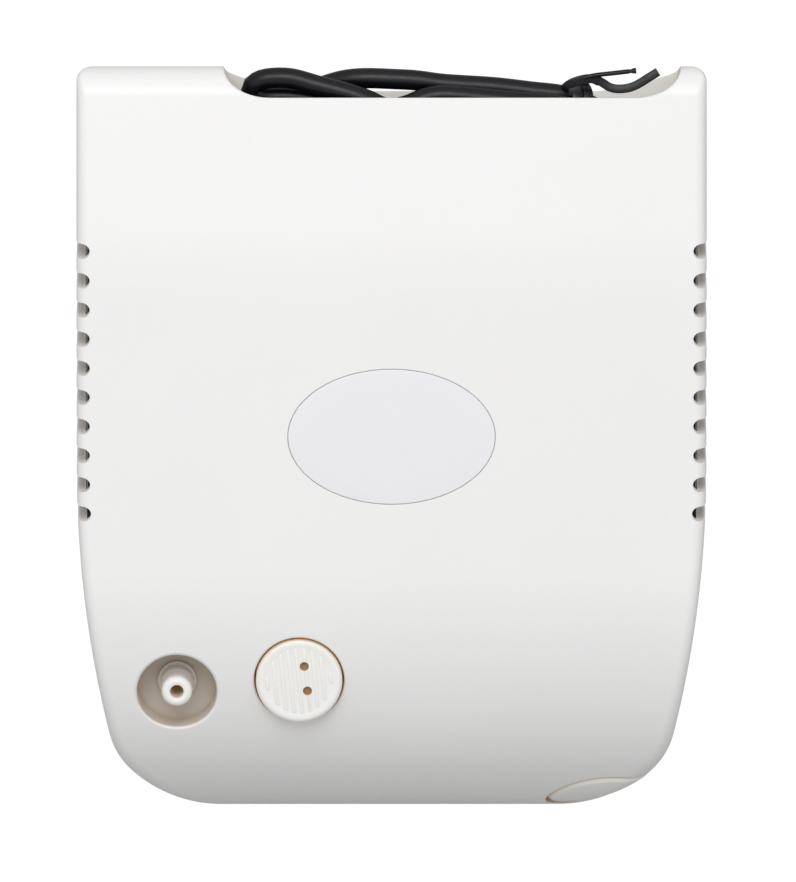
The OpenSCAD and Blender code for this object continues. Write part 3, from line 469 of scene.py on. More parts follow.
def flare(rho, steps=5):
    """Offsets (outwards, down) of a rounded mouth, from just above the surface to the straight wall."""
    points = [(rho + 0.5, -0.5 * rho - 0.4)]
    for i in range(steps + 1):
        a = math.pi / 2 * (0.12 + 0.88 * i / steps)
        points.append((rho - rho * math.sin(a), rho - rho * math.cos(a)))
    return points


def lip_cutter():
    """Cutter of the rear hollow, with a rounded lip that follows the top surface."""
    rings = [[(x, y, TOP_Z + 8) for x, y in hollow_plan(LIP_DEPTH, 1.1)]]
    for out, down in flare(0.6):
        plan = hollow_plan(LIP_DEPTH, out)
        heights = surface_height([p[0] for p in plan], [min(p[1], Y_REAR) for p in plan])
        rings.append([(x, y, float(h) - down) for (x, y), h in zip(plan, heights)])
    rings.append([(x, y, BAY_FLOOR) for x, y in hollow_plan(LIP_DEPTH)])
    return rings_object("lip_cutter", rings)


def badge_cutter():
    """Shallow oval recess in the sloping panel."""
    n = 128
    rings = []
    offsets = [(0.8, 0.6)] + [(o, -d) for o, d in flare(0.2)[1:]] + [(0.0, -1.0)]
    for grow, h in offsets:
        ring = []
        for k in range(n):
            a = 2 * math.pi * k / n
            x, y = (BADGE_A + grow) * math.cos(a), (BADGE_B + grow) * math.sin(a)
            ring.append(place(PANEL_AXES, x, y, h))
        rings.append(ring)
    return rings_object("badge_cutter", rings)


def surface_distance(axes, xs, ys):
    """Distances along the axis at which lines through local points (xs, ys) meet the outer surface."""
    origin, e1, e2, e3 = [np.array(v) for v in axes]
    xs, ys = np.asarray(xs, float), np.asarray(ys, float)
    start = origin + xs[..., None] * e1 + ys[..., None] * e2
    low, high = np.full(xs.shape, -25.0), np.full(xs.shape, 25.0)
    for _ in range(40):
        mid = (low + high) / 2
        p = start + mid[..., None] * e3
        x, y, z = p[..., 0], p[..., 1], p[..., 2]
        inside = (y > Y_FRONT) & (y < Y_REAR) & (np.abs(x) < half_width(y)) & (z < surface_height(x, y))
        low, high = np.where(inside, mid, low), np.where(inside, high, mid)
    return (low + high) / 2


def round_cutter(name, axes, radius, rho, depth, floor_r=0.0, steps=96):
    """Round cutter whose rounded mouth follows the outer surface."""
    offsets = flare(rho)
    angles = np.arange(steps) * 2 * math.pi / steps
    reach = radius + np.array([[out] for out, _ in offsets])
    heights = surface_distance(axes, reach * np.cos(angles), reach * np.sin(angles))
    heights = heights - np.array([[down] for _, down in offsets])
    top = float(heights[0].max()) + 3
    rings = [[place(axes, (radius + rho + 0.5) * math.cos(a), (radius + rho + 0.5) * math.sin(a),
                    top) for a in angles]]
    for (out, down), line in zip(offsets, heights):
        rings.append([place(axes, (radius + out) * math.cos(a), (radius + out) * math.sin(a), h)
                      for a, h in zip(angles, line)])
    below = quarter(radius - floor_r, floor_r - depth, floor_r, 0, -90,
                    6) if floor_r > 0 else [(radius, -depth)]
    for r, h in below:
        rings.append([place(axes, r * math.cos(a), r * math.sin(a), h) for a in angles])
    return rings_object(name, rings)


def cylinder(name, axes, radius, h0, h1, steps=64):
    return lathe(name, axes, [(radius, h0), (radius, h1)], steps)


def vent_cutters():
    """All side slots as one mesh. Each is a rounded slot that flares a little at the wall's face."""
    depth, flare_r = 3.55, 0.45
    centre_x = HALF_W - depth + VENT_HALF
    section = []
    for i in range(13):
        a = math.pi / 2 + math.pi * i / 12
        section.append((centre_x + VENT_HALF * math.cos(a), VENT_HALF * math.sin(a)))
    lower = [(HALF_W - flare_r, -VENT_HALF)]
    for i in range(1, 5):
        a = math.pi / 2 * i / 4
        lower.append((HALF_W - flare_r + flare_r * math.sin(a), -VENT_HALF - flare_r * (1 - math.cos(a))))
    lower.append((HALF_W + 6, -VENT_HALF - flare_r - 0.6))
    section = section + lower + [(x, -y) for x, y in reversed(lower)]
    made = []
    for i in range(VENT_COUNT):
        y = VENT_REAR_Y - VENT_PITCH * i
        bend = HALF_W - float(half_width(y))
        for side in (1, -1):
            rings = []
            for s in (-44.0, 14.0):
                rings.append([(side * (px - bend), y + py - s * math.sin(VENT_LEAN),
                               90 + s * math.cos(VENT_LEAN))
                              for px, py in section])
            made.append(rings_object("vent", rings))
    return join_meshes("vent_cutters", made)


def port_axes(x, y, z):
    return frame_at((x, y, z), (0, -math.sin(PORT_LEAN), math.cos(PORT_LEAN)))


PANEL_AXES = frame_at((0, 0, float(profile_height(0.0))), (0, -math.sin(SLOPE), math.cos(SLOPE)))
WELL_AXES = port_axes(WELL_X, WELL_Y, float(profile_height(WELL_Y)))
CAP_REAR_Y = CAP_Y + CAP_R * math.cos(PORT_LEAN)
CAP_AXES = port_axes(CAP_X, CAP_Y, float(profile_height(CAP_REAR_Y)) - CAP_R * math.sin(PORT_LEAN))
BUTTON_OUT = Vector((math.cos(BUTTON_LIFT) * math.sin(BUTTON_TURN),
                     -math.cos(BUTTON_LIFT) * math.cos(BUTTON_TURN),
                     math.sin(BUTTON_LIFT)))
BUTTON_AXES = frame_at((CORNER_X + CORNER_R * math.sin(BUTTON_TURN),
                        CORNER_Y - CORNER_R * math.cos(BUTTON_TURN) + 0.4, BUTTON_Z),
                       BUTTON_OUT, (math.cos(BUTTON_TURN), math.sin(BUTTON_TURN), 0))
BUSHING_AXES = frame_at((64, BAY_FRONT, 80), (0, 1, 0))
POSTS = ((-70, 84), (68, 86), (-71, -50), (71, -50))
FEET = ((-58, 74), (58, 74), (-58, -62), (58, -62))
MOUNTS = ((-48, -24), (-48, 28), (43, -24), (43, 28))
PLUG_AT = (0, 76, 49)


def upright(x, y):
    return frame_at((x, y, 0), (0, 0, 1))


def make_upper_shell():
    """Upper shell with its wells, bay, vents and inside posts."""
    cavity = case_solid("cavity", WALL, PARTING_Z - 2, rounded=False, fine=0.5, columns=10)
    bay_space = common(block("bay_space", (BAY_LEFT, BAY_FRONT, BAY_FLOOR), (BAY_RIGHT, Y_REAR + 12, 120),
                             2.5),
                       case_solid("cavity_copy", WALL, PARTING_Z - 2, rounded=False, fine=0.5, columns=10))
    cut(cavity,
        cylinder("well_cup", WELL_AXES, WELL_R + 2, -WELL_DEPTH - 2, 12),
        cylinder("cap_collar", CAP_AXES, CAP_R + 2.15, -14.5, 12),
        cylinder("button_tube", BUTTON_AXES, BUTTON_R + 2.7, -9, 9),
        block("bay_walls", (BAY_LEFT - 2, BAY_FRONT - 2, BAY_FLOOR - 2), (BAY_RIGHT + 2, Y_REAR + 9, 120),
              1.0),
        prism("groove_wall", groove_plan(2.2), PARTING_Z - 3, BAY_FLOOR - 1),
        *[cylinder("post", upright(x, y), 4, PARTING_Z + 0.2, 110) for x, y in POSTS])
    shell = case_solid("upper_shell_visible", 0.0, PARTING_Z, rounded=True)
    cut(shell, cavity, bay_space, lip_cutter(),
        prism("groove", groove_plan(), PARTING_Z - 1, BAY_FLOOR + 1),
        round_cutter("well", WELL_AXES, WELL_R, 0.9, WELL_DEPTH, 1.6),
        cylinder("well_hole", WELL_AXES, 4.1, -WELL_DEPTH - 6, -WELL_DEPTH + 3),
        round_cutter("cap_port", CAP_AXES, CAP_R + 0.35, 0.5, 24),
        round_cutter("button_port", BUTTON_AXES, BUTTON_R + 0.75, 0.4, 13),
        badge_cutter(), vent_cutters(),
        cylinder("cord_hole", BUSHING_AXES, 4.05, -5, 5))
    return shell


def shade_case(shell):
    """Hard edges at corners, and exact surface normals wherever a face lies on the smooth outer surface."""
    sharpen(shell, 34)
    mesh = shell.data
    co = np.empty(len(mesh.vertices) * 3)
    mesh.vertices.foreach_get("co", co)
    co = co.reshape(-1, 3) / MM
    x, y, z = co.T
    h = 0.02
    inside = (np.abs(x) <= half_width(y) + 1e-3) & (y > Y_FRONT + 0.2) & (y < Y_REAR - 0.2)
    on_top = inside & (np.abs(z - surface_height(x, y)) < 0.02) & (np.abs(x) < half_width(y) - 0.3)
    slope_x = (surface_height(x + h, y) - surface_height(x - h, y)) / (2 * h)
    slope_y = (surface_height(x, y + h) - surface_height(x, y - h)) / (2 * h)
    normal = np.stack([-slope_x, -slope_y, np.ones_like(x)], axis=1)
    normal /= np.linalg.norm(normal, axis=1)[:, None]
    corner_vertex = np.empty(len(mesh.loops), int)
    mesh.loops.foreach_get("vertex_index", corner_vertex)
    normals = np.empty(len(mesh.loops) * 3)
    mesh.corner_normals.foreach_get("vector", normals)
    normals = normals.reshape(-1, 3)
    for polygon in mesh.polygons:
        loops = range(polygon.loop_start, polygon.loop_start + polygon.loop_total)
        points = corner_vertex[list(loops)]
        if on_top[points].all() and polygon.normal.z > 0.15:
            agree = normal[points] @ np.array(polygon.normal)
            if (agree > 0.9).all():
                normals[list(loops)] = normal[points]
    mesh.normals_split_custom_set([tuple(v) for v in normals])
    return shell


def make_lower_shell():
    """Lower shell: a tray with a rounded bottom edge, posts, foot pockets, screw pockets and intake slots."""
    round_r = 6.0

    def tray(name, t, top):
        rings = []
        for i in range(9):
            a = math.radians(90 * i / 8)
            drawn = t + (round_r - t) * (1 - math.sin(a))
            rings.append([(x, y, BASE_Z + t + (round_r - t) * (1 - math.cos(a))) for x, y in outline(drawn)])
        if t == 0:
            rings.append([(x, y, top - 0.35) for x, y in outline(0)])
            rings.append([(x, y, top) for x, y in outline(0.35)])
        else:
            rings.append([(x, y, top) for x, y in outline(t)])
        return rings_object(name, rings)

    cavity = tray("tray_cavity", WALL, PARTING_Z + 2)
    cut(cavity, prism("tray_groove", groove_plan(2.2), BASE_Z - 2, PARTING_Z + 4),
        *[cylinder("tray_post", upright(x, y), 4.6, BASE_Z - 2, PARTING_Z + 4) for x, y in POSTS],
        *[cylinder("tray_boss", upright(x, y), 5.5, BASE_Z - 2, BASE_Z + 5) for x, y in MOUNTS])
    shell = tray("lower_shell_visible", 0.0, PARTING_Z)
    cut(shell, cavity, prism("lower_groove", groove_plan(), BASE_Z - 2, PARTING_Z + 2))
    for x, y in FEET:
        cut(shell, cylinder("foot_pocket", upright(x, y), 8.1, 0, BASE_Z + 0.5))
    for x, y in POSTS:
        pocket = [(3.9, BASE_Z - 1), (3.9, BASE_Z), (3.3, BASE_Z + 0.6), (3.3, 9), (1.7, 9),
                  (1.7, PARTING_Z + 2)]
        cut(shell, lathe("screw_pocket", upright(x, y), pocket, 40))
    for i in range(8):
        low = (40 + 3 * i, -18, 0)
        cut(shell, block("intake_slot", low, (low[0] + 1.5, 22, BASE_Z + 4), 0.7))
    return sharpen(shell, 34)


def seam_cutter():
    """Ring that chamfers the lower rim of the upper shell."""
    section = ((-2, -1), (0.35, -1), (0.35, 0), (0.0, 0.35), (-0.6, 1.2), (-2, 1.2))
    rings = [[(x, y, PARTING_Z + rise) for x, y in outline(inset)] for inset, rise in section]
    return looped_rings("seam_cutter", rings)


def make_badge():
    """Blank oval badge with a rounded edge and a slight crown."""
    n = 160
    gap, low, high, edge = 0.08, -0.99, -0.2, 0.3
    rings = []
    profile = [(0.0, low), (0.0, high - edge)]
    profile += [(edge * (1 - math.cos(math.radians(a))), high - edge + edge * math.sin(math.radians(a)))
                for a in (15, 30, 45, 60, 75, 90)]
    for inset, h in profile:
        rings.append([place(PANEL_AXES, (BADGE_A - gap - inset) * math.cos(2 * math.pi * k / n),
                            (BADGE_B - gap - inset) * math.sin(2 * math.pi * k / n), h) for k in range(n)])
    for share in (0.8, 0.55, 0.3, 0.08):
        crown = 0.12 * (1 - share ** 2)
        rings.append([place(PANEL_AXES, (BADGE_A - gap - edge) * share * math.cos(2 * math.pi * k / n),
                            (BADGE_B - gap - edge) * share * math.sin(2 * math.pi * k / n), high + crown)
                      for k in range(n)])
    return sharpen(rings_object("oval_badge_visible", rings), 40)


def make_nozzle():
    """Air outlet: tapered tip with a rounded mouth, a collar at the foot and a hose spigot below."""
    tip, bore, foot = 4.1, 1.75, 4.4
    profile = [(bore, -8.5), (bore, -0.75)] + quarter(bore + 0.45, -0.75, 0.45, 180, 90, 5)
    profile += quarter(tip - 1.5, -1.7, 1.5, 90, 0, 10)
    profile += [(tip, -3.0), (tip + 0.02, -4.5), (tip, -6.4)]
    profile += [(tip + 0.15, -6.95), (foot - 0.05, -7.2), (foot, -7.5), (foot, -11.4), (4.9, -11.7)]
    profile += [(5.1, -11.85), (5.1, -12.28), (4.0, -12.28), (4.0, -16.5), (2.5, -17)]
    for barb in (-18.2, -20.6):
        profile += [(2.5, barb), (2.62, barb - 0.2), (2.62, barb - 0.7), (2.5, barb - 1.2)]
    profile += [(2.5, -23.5), (2.2, -25), (1.5, -25), (1.5, -8.5)]
    steps = 96
    rings = [[place(WELL_AXES, r * math.cos(2 * math.pi * k / steps), r * math.sin(2 * math.pi * k / steps),
                    h)
              for k in range(steps)] for r, h in profile[:-1]]
    return sharpen(looped_rings("air_outlet_nozzle_visible", rings), 38)


def make_filter_cap():
    """Filter cap: turned body, raised rim, fine ribs across the face and two air holes."""
    r = CAP_R - 0.05
    shape = [(CAP_R - 2.9, -11), (CAP_R - 0.65, -11), (CAP_R - 0.35, -10.8), (CAP_R - 0.15, -10.4),
             (r - 0.1, -9),
             (r, -8.4), (r, -1.4)]
    shape += quarter(r - 1.3, -1.35, 1.3, 8, 90, 9)
    shape += [(r - 1.8, -0.07), (r - 2.2, -0.14), (r - 2.6, -0.2), (5, -0.2), (0, -0.2)]
    under = [(0, -1.6), (CAP_R - 3.4, -1.6), (CAP_R - 3.4, -10.4)]
    cap = lathe("filter_cap_visible", CAP_AXES, under + shape, 128)
    ribs = []
    pitch, lean = 2.1, math.radians(6)
    disc = CAP_R - 2.5
    for i in range(-4, 5):
        reach = root(disc ** 2 - (abs(i) * pitch + 0.45) ** 2)
        if reach < 1:
            continue
        rib = block("rib", (i * pitch - 0.55, -float(reach), -1.0), (i * pitch + 0.55, float(reach), -0.08),
                    0.3, 4)
        rib.data.transform(Matrix.Rotation(lean, 4, "Z"))
        ribs.append(move_mesh(rib, CAP_AXES))
    join(cap, *ribs)
    for x, y in ((1.37, 4.0), (2.2, -2.7)):
        hole = [(1.2, -6), (1.2, -0.18), (1.27, -0.08), (1.3, 3)]
        axes = (place(CAP_AXES, x, y, 0),) + CAP_AXES[1:]
        cut(cap, lathe("hole", axes, hole, 40))
    return sharpen(cap, 34)


def make_button():
    """Power button: round plug whose face follows the case corner, with a soft edge."""
    steps, edge = 128, 1.5
    radii = [BUTTON_R * s for s in (0.03, 0.15, 0.3, 0.45, 0.6, 0.72, 0.82)]
    radii += [BUTTON_R - edge + edge * math.sin(math.radians(a)) for a in (0, 15, 30, 45, 58, 70, 80, 87, 90)]
    angles = [2 * math.pi * k / steps for k in range(steps)]
    xs = np.array([[q * math.cos(a) for a in angles] for q in radii])
    ys = np.array([[q * math.sin(a) for a in angles] for q in radii])
    climb = (xs * BUTTON_AXES[1].z + ys * BUTTON_AXES[2].z) / math.cos(BUTTON_LIFT)
    face = surface_distance(BUTTON_AXES, xs, ys) - (0.35 - 0.045 * climb)
    rings = []
    for i, q in enumerate(radii):
        over = max(q - (BUTTON_R - edge), 0)
        drop = edge - math.sqrt(max(edge ** 2 - over ** 2, 0))
        rings.append([place(BUTTON_AXES, xs[i, k], ys[i, k], face[i, k] - drop) for k in range(steps)])
    for q, h in ((BUTTON_R, -8.1), (BUTTON_R - 0.4, -8.5), (3.9, -8.5), (3.5, -8.9), (3.5, -13.7),
                 (3.2, -14.0)):
        rings.append([place(BUTTON_AXES, q * math.cos(a), q * math.sin(a), h) for a in angles])
    return sharpen(rings_object("power_button_visible", rings), 40)


# ---------------------------------------------------------------- cord, tie and plug

def smooth_path(points, step=1.2):
    """Even points along a Catmull-Rom curve through the given points."""
    pts = [Vector(p) for p in points]
    pts = [pts[0] * 2 - pts[1]] + pts + [pts[-1] * 2 - pts[-2]]
    dense = []
    for i in range(1, len(pts) - 2):
        a, b, c, d = pts[i - 1:i + 3]
        for k in range(24):
            t = k / 24
            dense.append(0.5 * (2 * b + (c - a) * t + (2 * a - 5 * b + 4 * c - d) * t * t
                                + (3 * b - a - 3 * c + d) * t ** 3))
    dense.append(pts[-2])
    out = [dense[0]]
    travelled = 0.0
    for p, q in zip(dense, dense[1:]):
        travelled += (q - p).length
        if travelled >= step:
            out.append(q)
            travelled = 0.0
    if (out[-1] - dense[-1]).length > 1e-3:
        out.append(dense[-1])
    return out


def sweep(name, path, section, first=(0.0, 0.0, 1.0), taper=None):
    """Closed bar: a section of (across, up) points carried along the path without twisting."""
    n = len(path)
    tangent = [(path[min(i + 1, n - 1)] - path[max(i - 1, 0)]).normalized() for i in range(n)]
    up = Vector(first)
    rings = []
    for i, p in enumerate(path):
        up = (up - tangent[i] * up.dot(tangent[i])).normalized()
        side = tangent[i].cross(up)
        scale = taper(i / (n - 1)) if taper else 1.0
        rings.append([p + side * (a * scale) + up * (b * scale) for a, b in section])
    return rings_object(name, rings)


def round_section(r, n=20):
    return [(r * math.cos(2 * math.pi * k / n), r * math.sin(2 * math.pi * k / n)) for k in range(n)]


def strap_section(width, thick):
    half_a, half_b = width / 2, thick / 2
    e = min(half_a, half_b) * 0.5
    corners = ((half_a, half_b, 0), (-half_a, half_b, 90), (-half_a, -half_b, 180), (half_a, -half_b, 270))
    points = []
    for cx, cy, a0 in corners:
        ox, oy = cx - math.copysign(e, cx), cy - math.copysign(e, cy)
        points += [(ox + e * math.cos(math.radians(a0 + a)), oy + e * math.sin(math.radians(a0 + a)))
                   for a in (0, 45, 90)]
    return points


CORD_R = 2.72


def make_cord():
    """Mains cord: lead from the bushing, untidy top strands, then regular turns down to the plug."""
    # Top layer, right to left and back, as the cord lies along the open edge of the bay
    points = [
        (64, 57.5, 80), (64, 64, 80), (64, 71, 80.2), (62, 78.5, 80.8), (57, 84.4, 81.4), (51, 88.2, 82.0),
        (44.7, 90.2, 82.2), (37, 91.1, 82.4), (27, 92.25, 82.6), (14, 93.1, 82.8), (7, 94.0, 83.0),
        (1.5, 94.35, 83.1), (-8.3, 94.6, 82.6), (-15.5, 93.4, 80.8), (-23, 90.2, 78.4), (-30, 84.5, 78.4),
        (-33, 79.0, 80.0), (-27, 75.2, 81.6), (-14, 74.6, 82.4), (8, 75.0, 82.4), (30, 75.0, 82),
        (45, 75.6, 82), (53.0, 79.4, 83.2), (51.6, 84.8, 85.2), (44, 87.4, 86.4), (30, 88.7, 87.0),
        (17, 89.9, 87.6), (12.5, 90.0, 87.6), (8.5, 89.2, 87.4), (4, 87.4, 86.8), (-2, 86.2, 85.4),
        (-10, 87.4, 84.0), (-18, 89.0, 83.6), (-28, 89.7, 83.8), (-34.0, 89.6, 84.6), (-37.0, 91.8, 86.2),
        (-34.0, 94.2, 87.6), (-27, 94.55, 88.4), (-19.5, 92.6, 88.8), (-12.5, 90.8, 88.9), (-6.6, 88.9, 88.8),
        (-2.4, 86.9, 88.4), (6, 83.6, 87.8), (14, 81.6, 86.6), (30, 80.4, 84.6), (43, 81.4, 82.0),
              (48.0, 83, 79),
    ]
    # Lower turns, one below the other
    cx0, cx1, cy, r = -28.0, 43.0, 80.3, 6.3
    z, pitch = 77.4, 5.9
    for turn in range(3):
        loop = [(cx1 + r * math.cos(a), cy + r * math.sin(a), 0) for a in np.radians((30, 65))]
        loop += [(x, cy + r, 0) for x in np.linspace(cx1 - 6, cx0 + 4, 5)]
        loop += [(cx0 + r * math.cos(a), cy + r * math.sin(a),
                  0) for a in np.radians((105, 140, 180, 220, 255))]
        loop += [(x, cy - r, 0) for x in np.linspace(cx0 + 4, cx1 - 6, 5)]
        loop += [(cx1 + r * math.cos(a), cy + r * math.sin(a), 0) for a in np.radians((-65, -25))]
        count = len(loop)
        wave = 0.35 * math.sin(2.1 * turn + 0.5)
        for k, (x, y, _) in enumerate(loop):
            points.append((x + wave, y - 0.3 + 0.3 * math.sin(0.9 * k + turn),
                           z - pitch * (turn + k / count)))
            if turn == 2 and k == 8:
                break
    plug = Vector(PLUG_AT)
    points += [(-35.5, 79.4, 56.5), (-32, 76.6, 52.5), (-25, 76.2, 50.2), (plug.x - 17, plug.y, plug.z),
               (plug.x - 11, plug.y, plug.z), (plug.x - 2, plug.y, plug.z)]
    return sweep("power_cord_visible", smooth_path(points, 1.3), round_section(CORD_R))


def make_tie():
    """Cable tie: band around the wound cord, its head, the tail that curls to the rear and a loose end."""
    low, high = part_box("cord_tie")
    x = (low.x + high.x) / 2 / MM
    y0, y1 = low.y / MM + 0.7, high.y / MM - 4.2
    z0, z1 = low.z / MM + 0.7, 91.2
    r = 4.5
    loop = []
    for cx, cz, a0 in ((y1 - r, z1 - r, 0), (y0 + r, z1 - r, 90), (y0 + r, z0 + r, 180),
                       (y1 - r, z0 + r, 270)):
        for a in (0, 30, 60, 90):
            turn = math.radians(a0 + a)
            loop.append((x + 1.2 * math.sin(turn), cx + r * math.cos(turn), cz + r * math.sin(turn)))
    loop.append((loop[0][0] + 0.9, loop[0][1] - 0.1, loop[0][2] + 2.2))
    band = sweep("tie_band", smooth_path(loop, 1.0), strap_section(1.1, 3.0), first=(1, 0, 0))
    second = sweep("tie_band_2", smooth_path([(px + 2.4 + 0.4 * math.sin(0.7 * i), py - 0.25, pz - 0.2)
                                              for i, (px, py, pz) in enumerate(loop)], 1.0),
                   strap_section(1.1, 2.6), first=(1, 0, 0))
    knot = [(x - 2.6, 91.6, 89.6), (x - 1.0, 92.9, 91.2), (x + 1.2, 93.8, 91.8), (x + 3.4, 94.3, 91.4),
            (x + 5.2, 94.3, 90.8), (x + 6.8, 93.6, 90.4)]
    knot_strap = sweep("tie_knot", smooth_path(knot, 0.7), strap_section(2.4, 1.2))
    tail = [(x + 3.4, 94.3, 91.0), (x + 5.6, 94.3, 90.6), (55.6, 93.3, 90.3), (57.3, 92.2, 90.2),
            (59.4, 91.7, 90.2), (62.2, 91.9, 90.4),
            (64.7, 92.8, 90.6), (67.5, 94.5, 90.9), (70.2, 96.2, 91.1)]
    strap_tail = sweep("tie_tail", smooth_path(tail, 0.7), strap_section(2.3, 1.0))
    thin = [(x + 2.6, 94.6, 91.8), (x + 6.0, 95.3, 92.0), (57.5, 95.7, 92.0), (61.0, 96.1, 91.8),
            (64.4, 96.5, 91.6)]
    thin_tail = sweep("tie_thin_tail", smooth_path(thin, 0.6), round_section(0.62, 12),
                      taper=lambda s: 1.0 if s < 0.9 else 0.6 + 0.5 * math.sin(math.pi * (s - 0.9) * 5) + 0.2)
    head = block("tie_head", (x - 1.4, 89.6, 88.4), (x + 2.2, 93.2, 91.5), 0.5, 2)
    return sharpen(join_meshes("cord_tie_visible", [band, second, knot_strap, strap_tail, thin_tail, head]),
                   42)


def make_plug():
    """Moulded plug: waisted body with grip ribs and a stepped strain relief."""
    o = Vector(PLUG_AT)
    stations = [(-11.9, 3.7, 3.7, 1.0), (-11.2, 4.2, 4.2, 1.0), (-8.4, 4.4, 4.4, 1.0), (-8.1, 3.7, 3.7, 1.0),
                (-7.0, 3.7, 3.7, 1.0), (-6.7, 4.4, 4.4, 1.0), (-4.6, 4.4, 4.4, 1.0), (-4.3, 3.7, 3.7, 1.0),
                (-3.2, 3.7, 3.7, 1.0), (-2.9, 4.4, 4.4, 1.0), (-0.6, 4.5, 4.5, 0.95), (0.6, 5.6, 4.9, 0.8),
                (3.0, 8.2, 5.6, 0.55), (6.0, 10.3, 6.2, 0.42), (9.5, 11.4, 6.45, 0.4), (14.0, 11.2, 6.3, 0.4),
                (18.0, 11.3, 6.3, 0.4), (22.5, 11.9, 6.45, 0.38), (24.8, 11.95, 6.48, 0.36),
                (26.4, 11.7, 6.3, 0.36),
                (27.0, 11.0, 5.6, 0.36)]
    rings = []
    n = 64
    for x, a, b, power in stations:
        ring = []
        for k in range(n):
            t = 2 * math.pi * k / n
            c, s = math.cos(t), math.sin(t)
            ring.append((o.x + x, o.y + a * math.copysign(abs(c) ** power, c),
                         o.z + b * math.copysign(abs(s) ** power, s)))
        rings.append(ring)
    return sharpen(rings_object("plug_body_visible", rings), 40)


def make_feet():
    """Rubber feet with ringed treads."""
    made = []
    top = BASE_Z + 0.45
    for x, y in FEET:
        profile = [(0, 0.5), (1.6, 0.5), (1.9, 0.0), (3.1, 0.0), (3.4, 0.45), (4.2, 0.45), (4.5, 0.0),
                   (5.7, 0.0),
                   (6.0, 0.4), (6.4, 0.4), (6.7, 0.0), (7.2, 0.0), (7.7, 0.25), (8.0, 0.8), (8.0, top),
                   (0, top)]
        made.append(lathe("foot", upright(x, y), profile, 72))
    return sharpen(join_meshes("rubber_feet_visible", made), 36)


def make_winding():
    """Coil of enamelled wire: turns laid side by side, the stack bulging slightly in the middle."""
    low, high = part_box("coil_winding")
    cx, cy = (low.x + high.x) / 2 / MM, (low.y + high.y) / 2 / MM
    half_x, half_y, z0, z1 = (high.x - low.x) / 2 / MM, (high.y - low.y) / 2 / MM, low.z / MM, high.z / MM
    turns, per_turn, corner, wire = 26, 6, 5.0, 0.24

    def loop(drawn, z):
        points = []
        for sx, sy, a0 in ((1, 1, 0), (-1, 1, 90), (-1, -1, 180), (1, -1, 270)):
            for k in range(7):
                a = math.radians(a0 + 15 * k)
                points.append((cx + sx * (half_x - corner) + (corner - drawn) * math.cos(a),
                               cy + sy * (half_y - corner) + (corner - drawn) * math.sin(a), z))
        return points

    def core(z):
        x, y = 14.03, 6.03
        return [(cx + px, cy + py, z) for px, py in ((x, y), (-x, y), (-x, -y), (x, -y))]

    rings = []
    count = turns * per_turn
    for i in range(count + 1):
        share = i / count
        groove = wire * (1 - abs(math.sin(math.pi * i / per_turn))) + 0.35 * (2 * share - 1) ** 4
        rings.append(loop(groove, z0 + (z1 - z0) * share))
    outer = rings_object("coil_winding_visible", rings)
    window = rings_object("winding_window", [core(z0 - 1), core(z1 + 1)])
    return sharpen(cut(outer, window), 60)


# ---------------------------------------------------------------- materials

def new_material(name):
    material = bpy.data.materials.new(name)
    material.use_nodes = True
    nodes = material.node_tree.nodes
    return material, nodes, material.node_tree.links, nodes["Principled BSDF"]


def object_noise(nodes, links, scale, detail=3.0, stretch=None):
    """Noise fixed to the object, with scale in cells per metre."""
    place_node = nodes.new("ShaderNodeTexCoord")
    noise = nodes.new("ShaderNodeTexNoise")
    noise.inputs["Scale"].default_value = scale
    noise.inputs["Detail"].default_value = detail
    source = place_node.outputs["Object"]
    if stretch:
        mapping = nodes.new("ShaderNodeMapping")
        mapping.inputs["Scale"].default_value = stretch
        links.new(source, mapping.inputs["Vector"])
        source = mapping.outputs["Vector"]
    links.new(source, noise.inputs["Vector"])
    return noise.outputs["Fac"]


def ramp_between(nodes, links, fac, low, high, start=0.3, end=0.7):
    ramp = nodes.new("ShaderNodeValToRGB")
    ramp.color_ramp.elements[0].position = start
    ramp.color_ramp.elements[1].position = end
    ramp.color_ramp.elements[0].color = (*low, 1)
    ramp.color_ramp.elements[1].color = (*high, 1)
    links.new(fac, ramp.inputs["Fac"])
    return ramp.outputs["Color"]


def value_between(nodes, links, fac, low, high):
    span = nodes.new("ShaderNodeMapRange")
    span.inputs["From Min"].default_value = 0.3
    span.inputs["From Max"].default_value = 0.7
    span.inputs["To Min"].default_value = low
    span.inputs["To Max"].default_value = high
    links.new(fac, span.inputs["Value"])
    return span.outputs["Result"]


def paint_hollow_shade(nodes, links, shader, colour, hollow, reach, painted_glow):
    """Painted shade and light: hollows found by ambient occlusion within reach are darkened towards the
    hollow colour, standing in for the warm light that comes through the plastic there, and may also be lit by
    emission in that colour, a painted glowing light.
    """
    occlusion = nodes.new("ShaderNodeAmbientOcclusion")
    occlusion.samples = 6
    occlusion.inputs["Distance"].default_value = reach
    ramp = ramp_between(nodes, links, occlusion.outputs["AO"], hollow, (1, 1, 1), 0.25, 0.9)
    mix = nodes.new("ShaderNodeMix")
    mix.data_type = "RGBA"
    mix.blend_type = "MULTIPLY"
    mix.inputs["Factor"].default_value = 1.0
    links.new(colour, mix.inputs["A"])
    links.new(ramp, mix.inputs["B"])
    links.new(mix.outputs["Result"], shader.inputs["Base Color"])
    # Painted light: emission in the hollow colour, strongest where the occlusion is deepest.
    if painted_glow:
        shader.inputs["Emission Color"].default_value = (*hollow, 1)
        links.new(value_between(nodes, links, occlusion.outputs["AO"], painted_glow, 0.0),
                  shader.inputs["Emission Strength"])


def add_bump(nodes, links, shader, height, strength, distance):
    bump = nodes.new("ShaderNodeBump")
    bump.inputs["Strength"].default_value = strength
    bump.inputs["Distance"].default_value = distance
    links.new(height, bump.inputs["Height"])
    links.new(bump.outputs["Normal"], shader.inputs["Normal"])


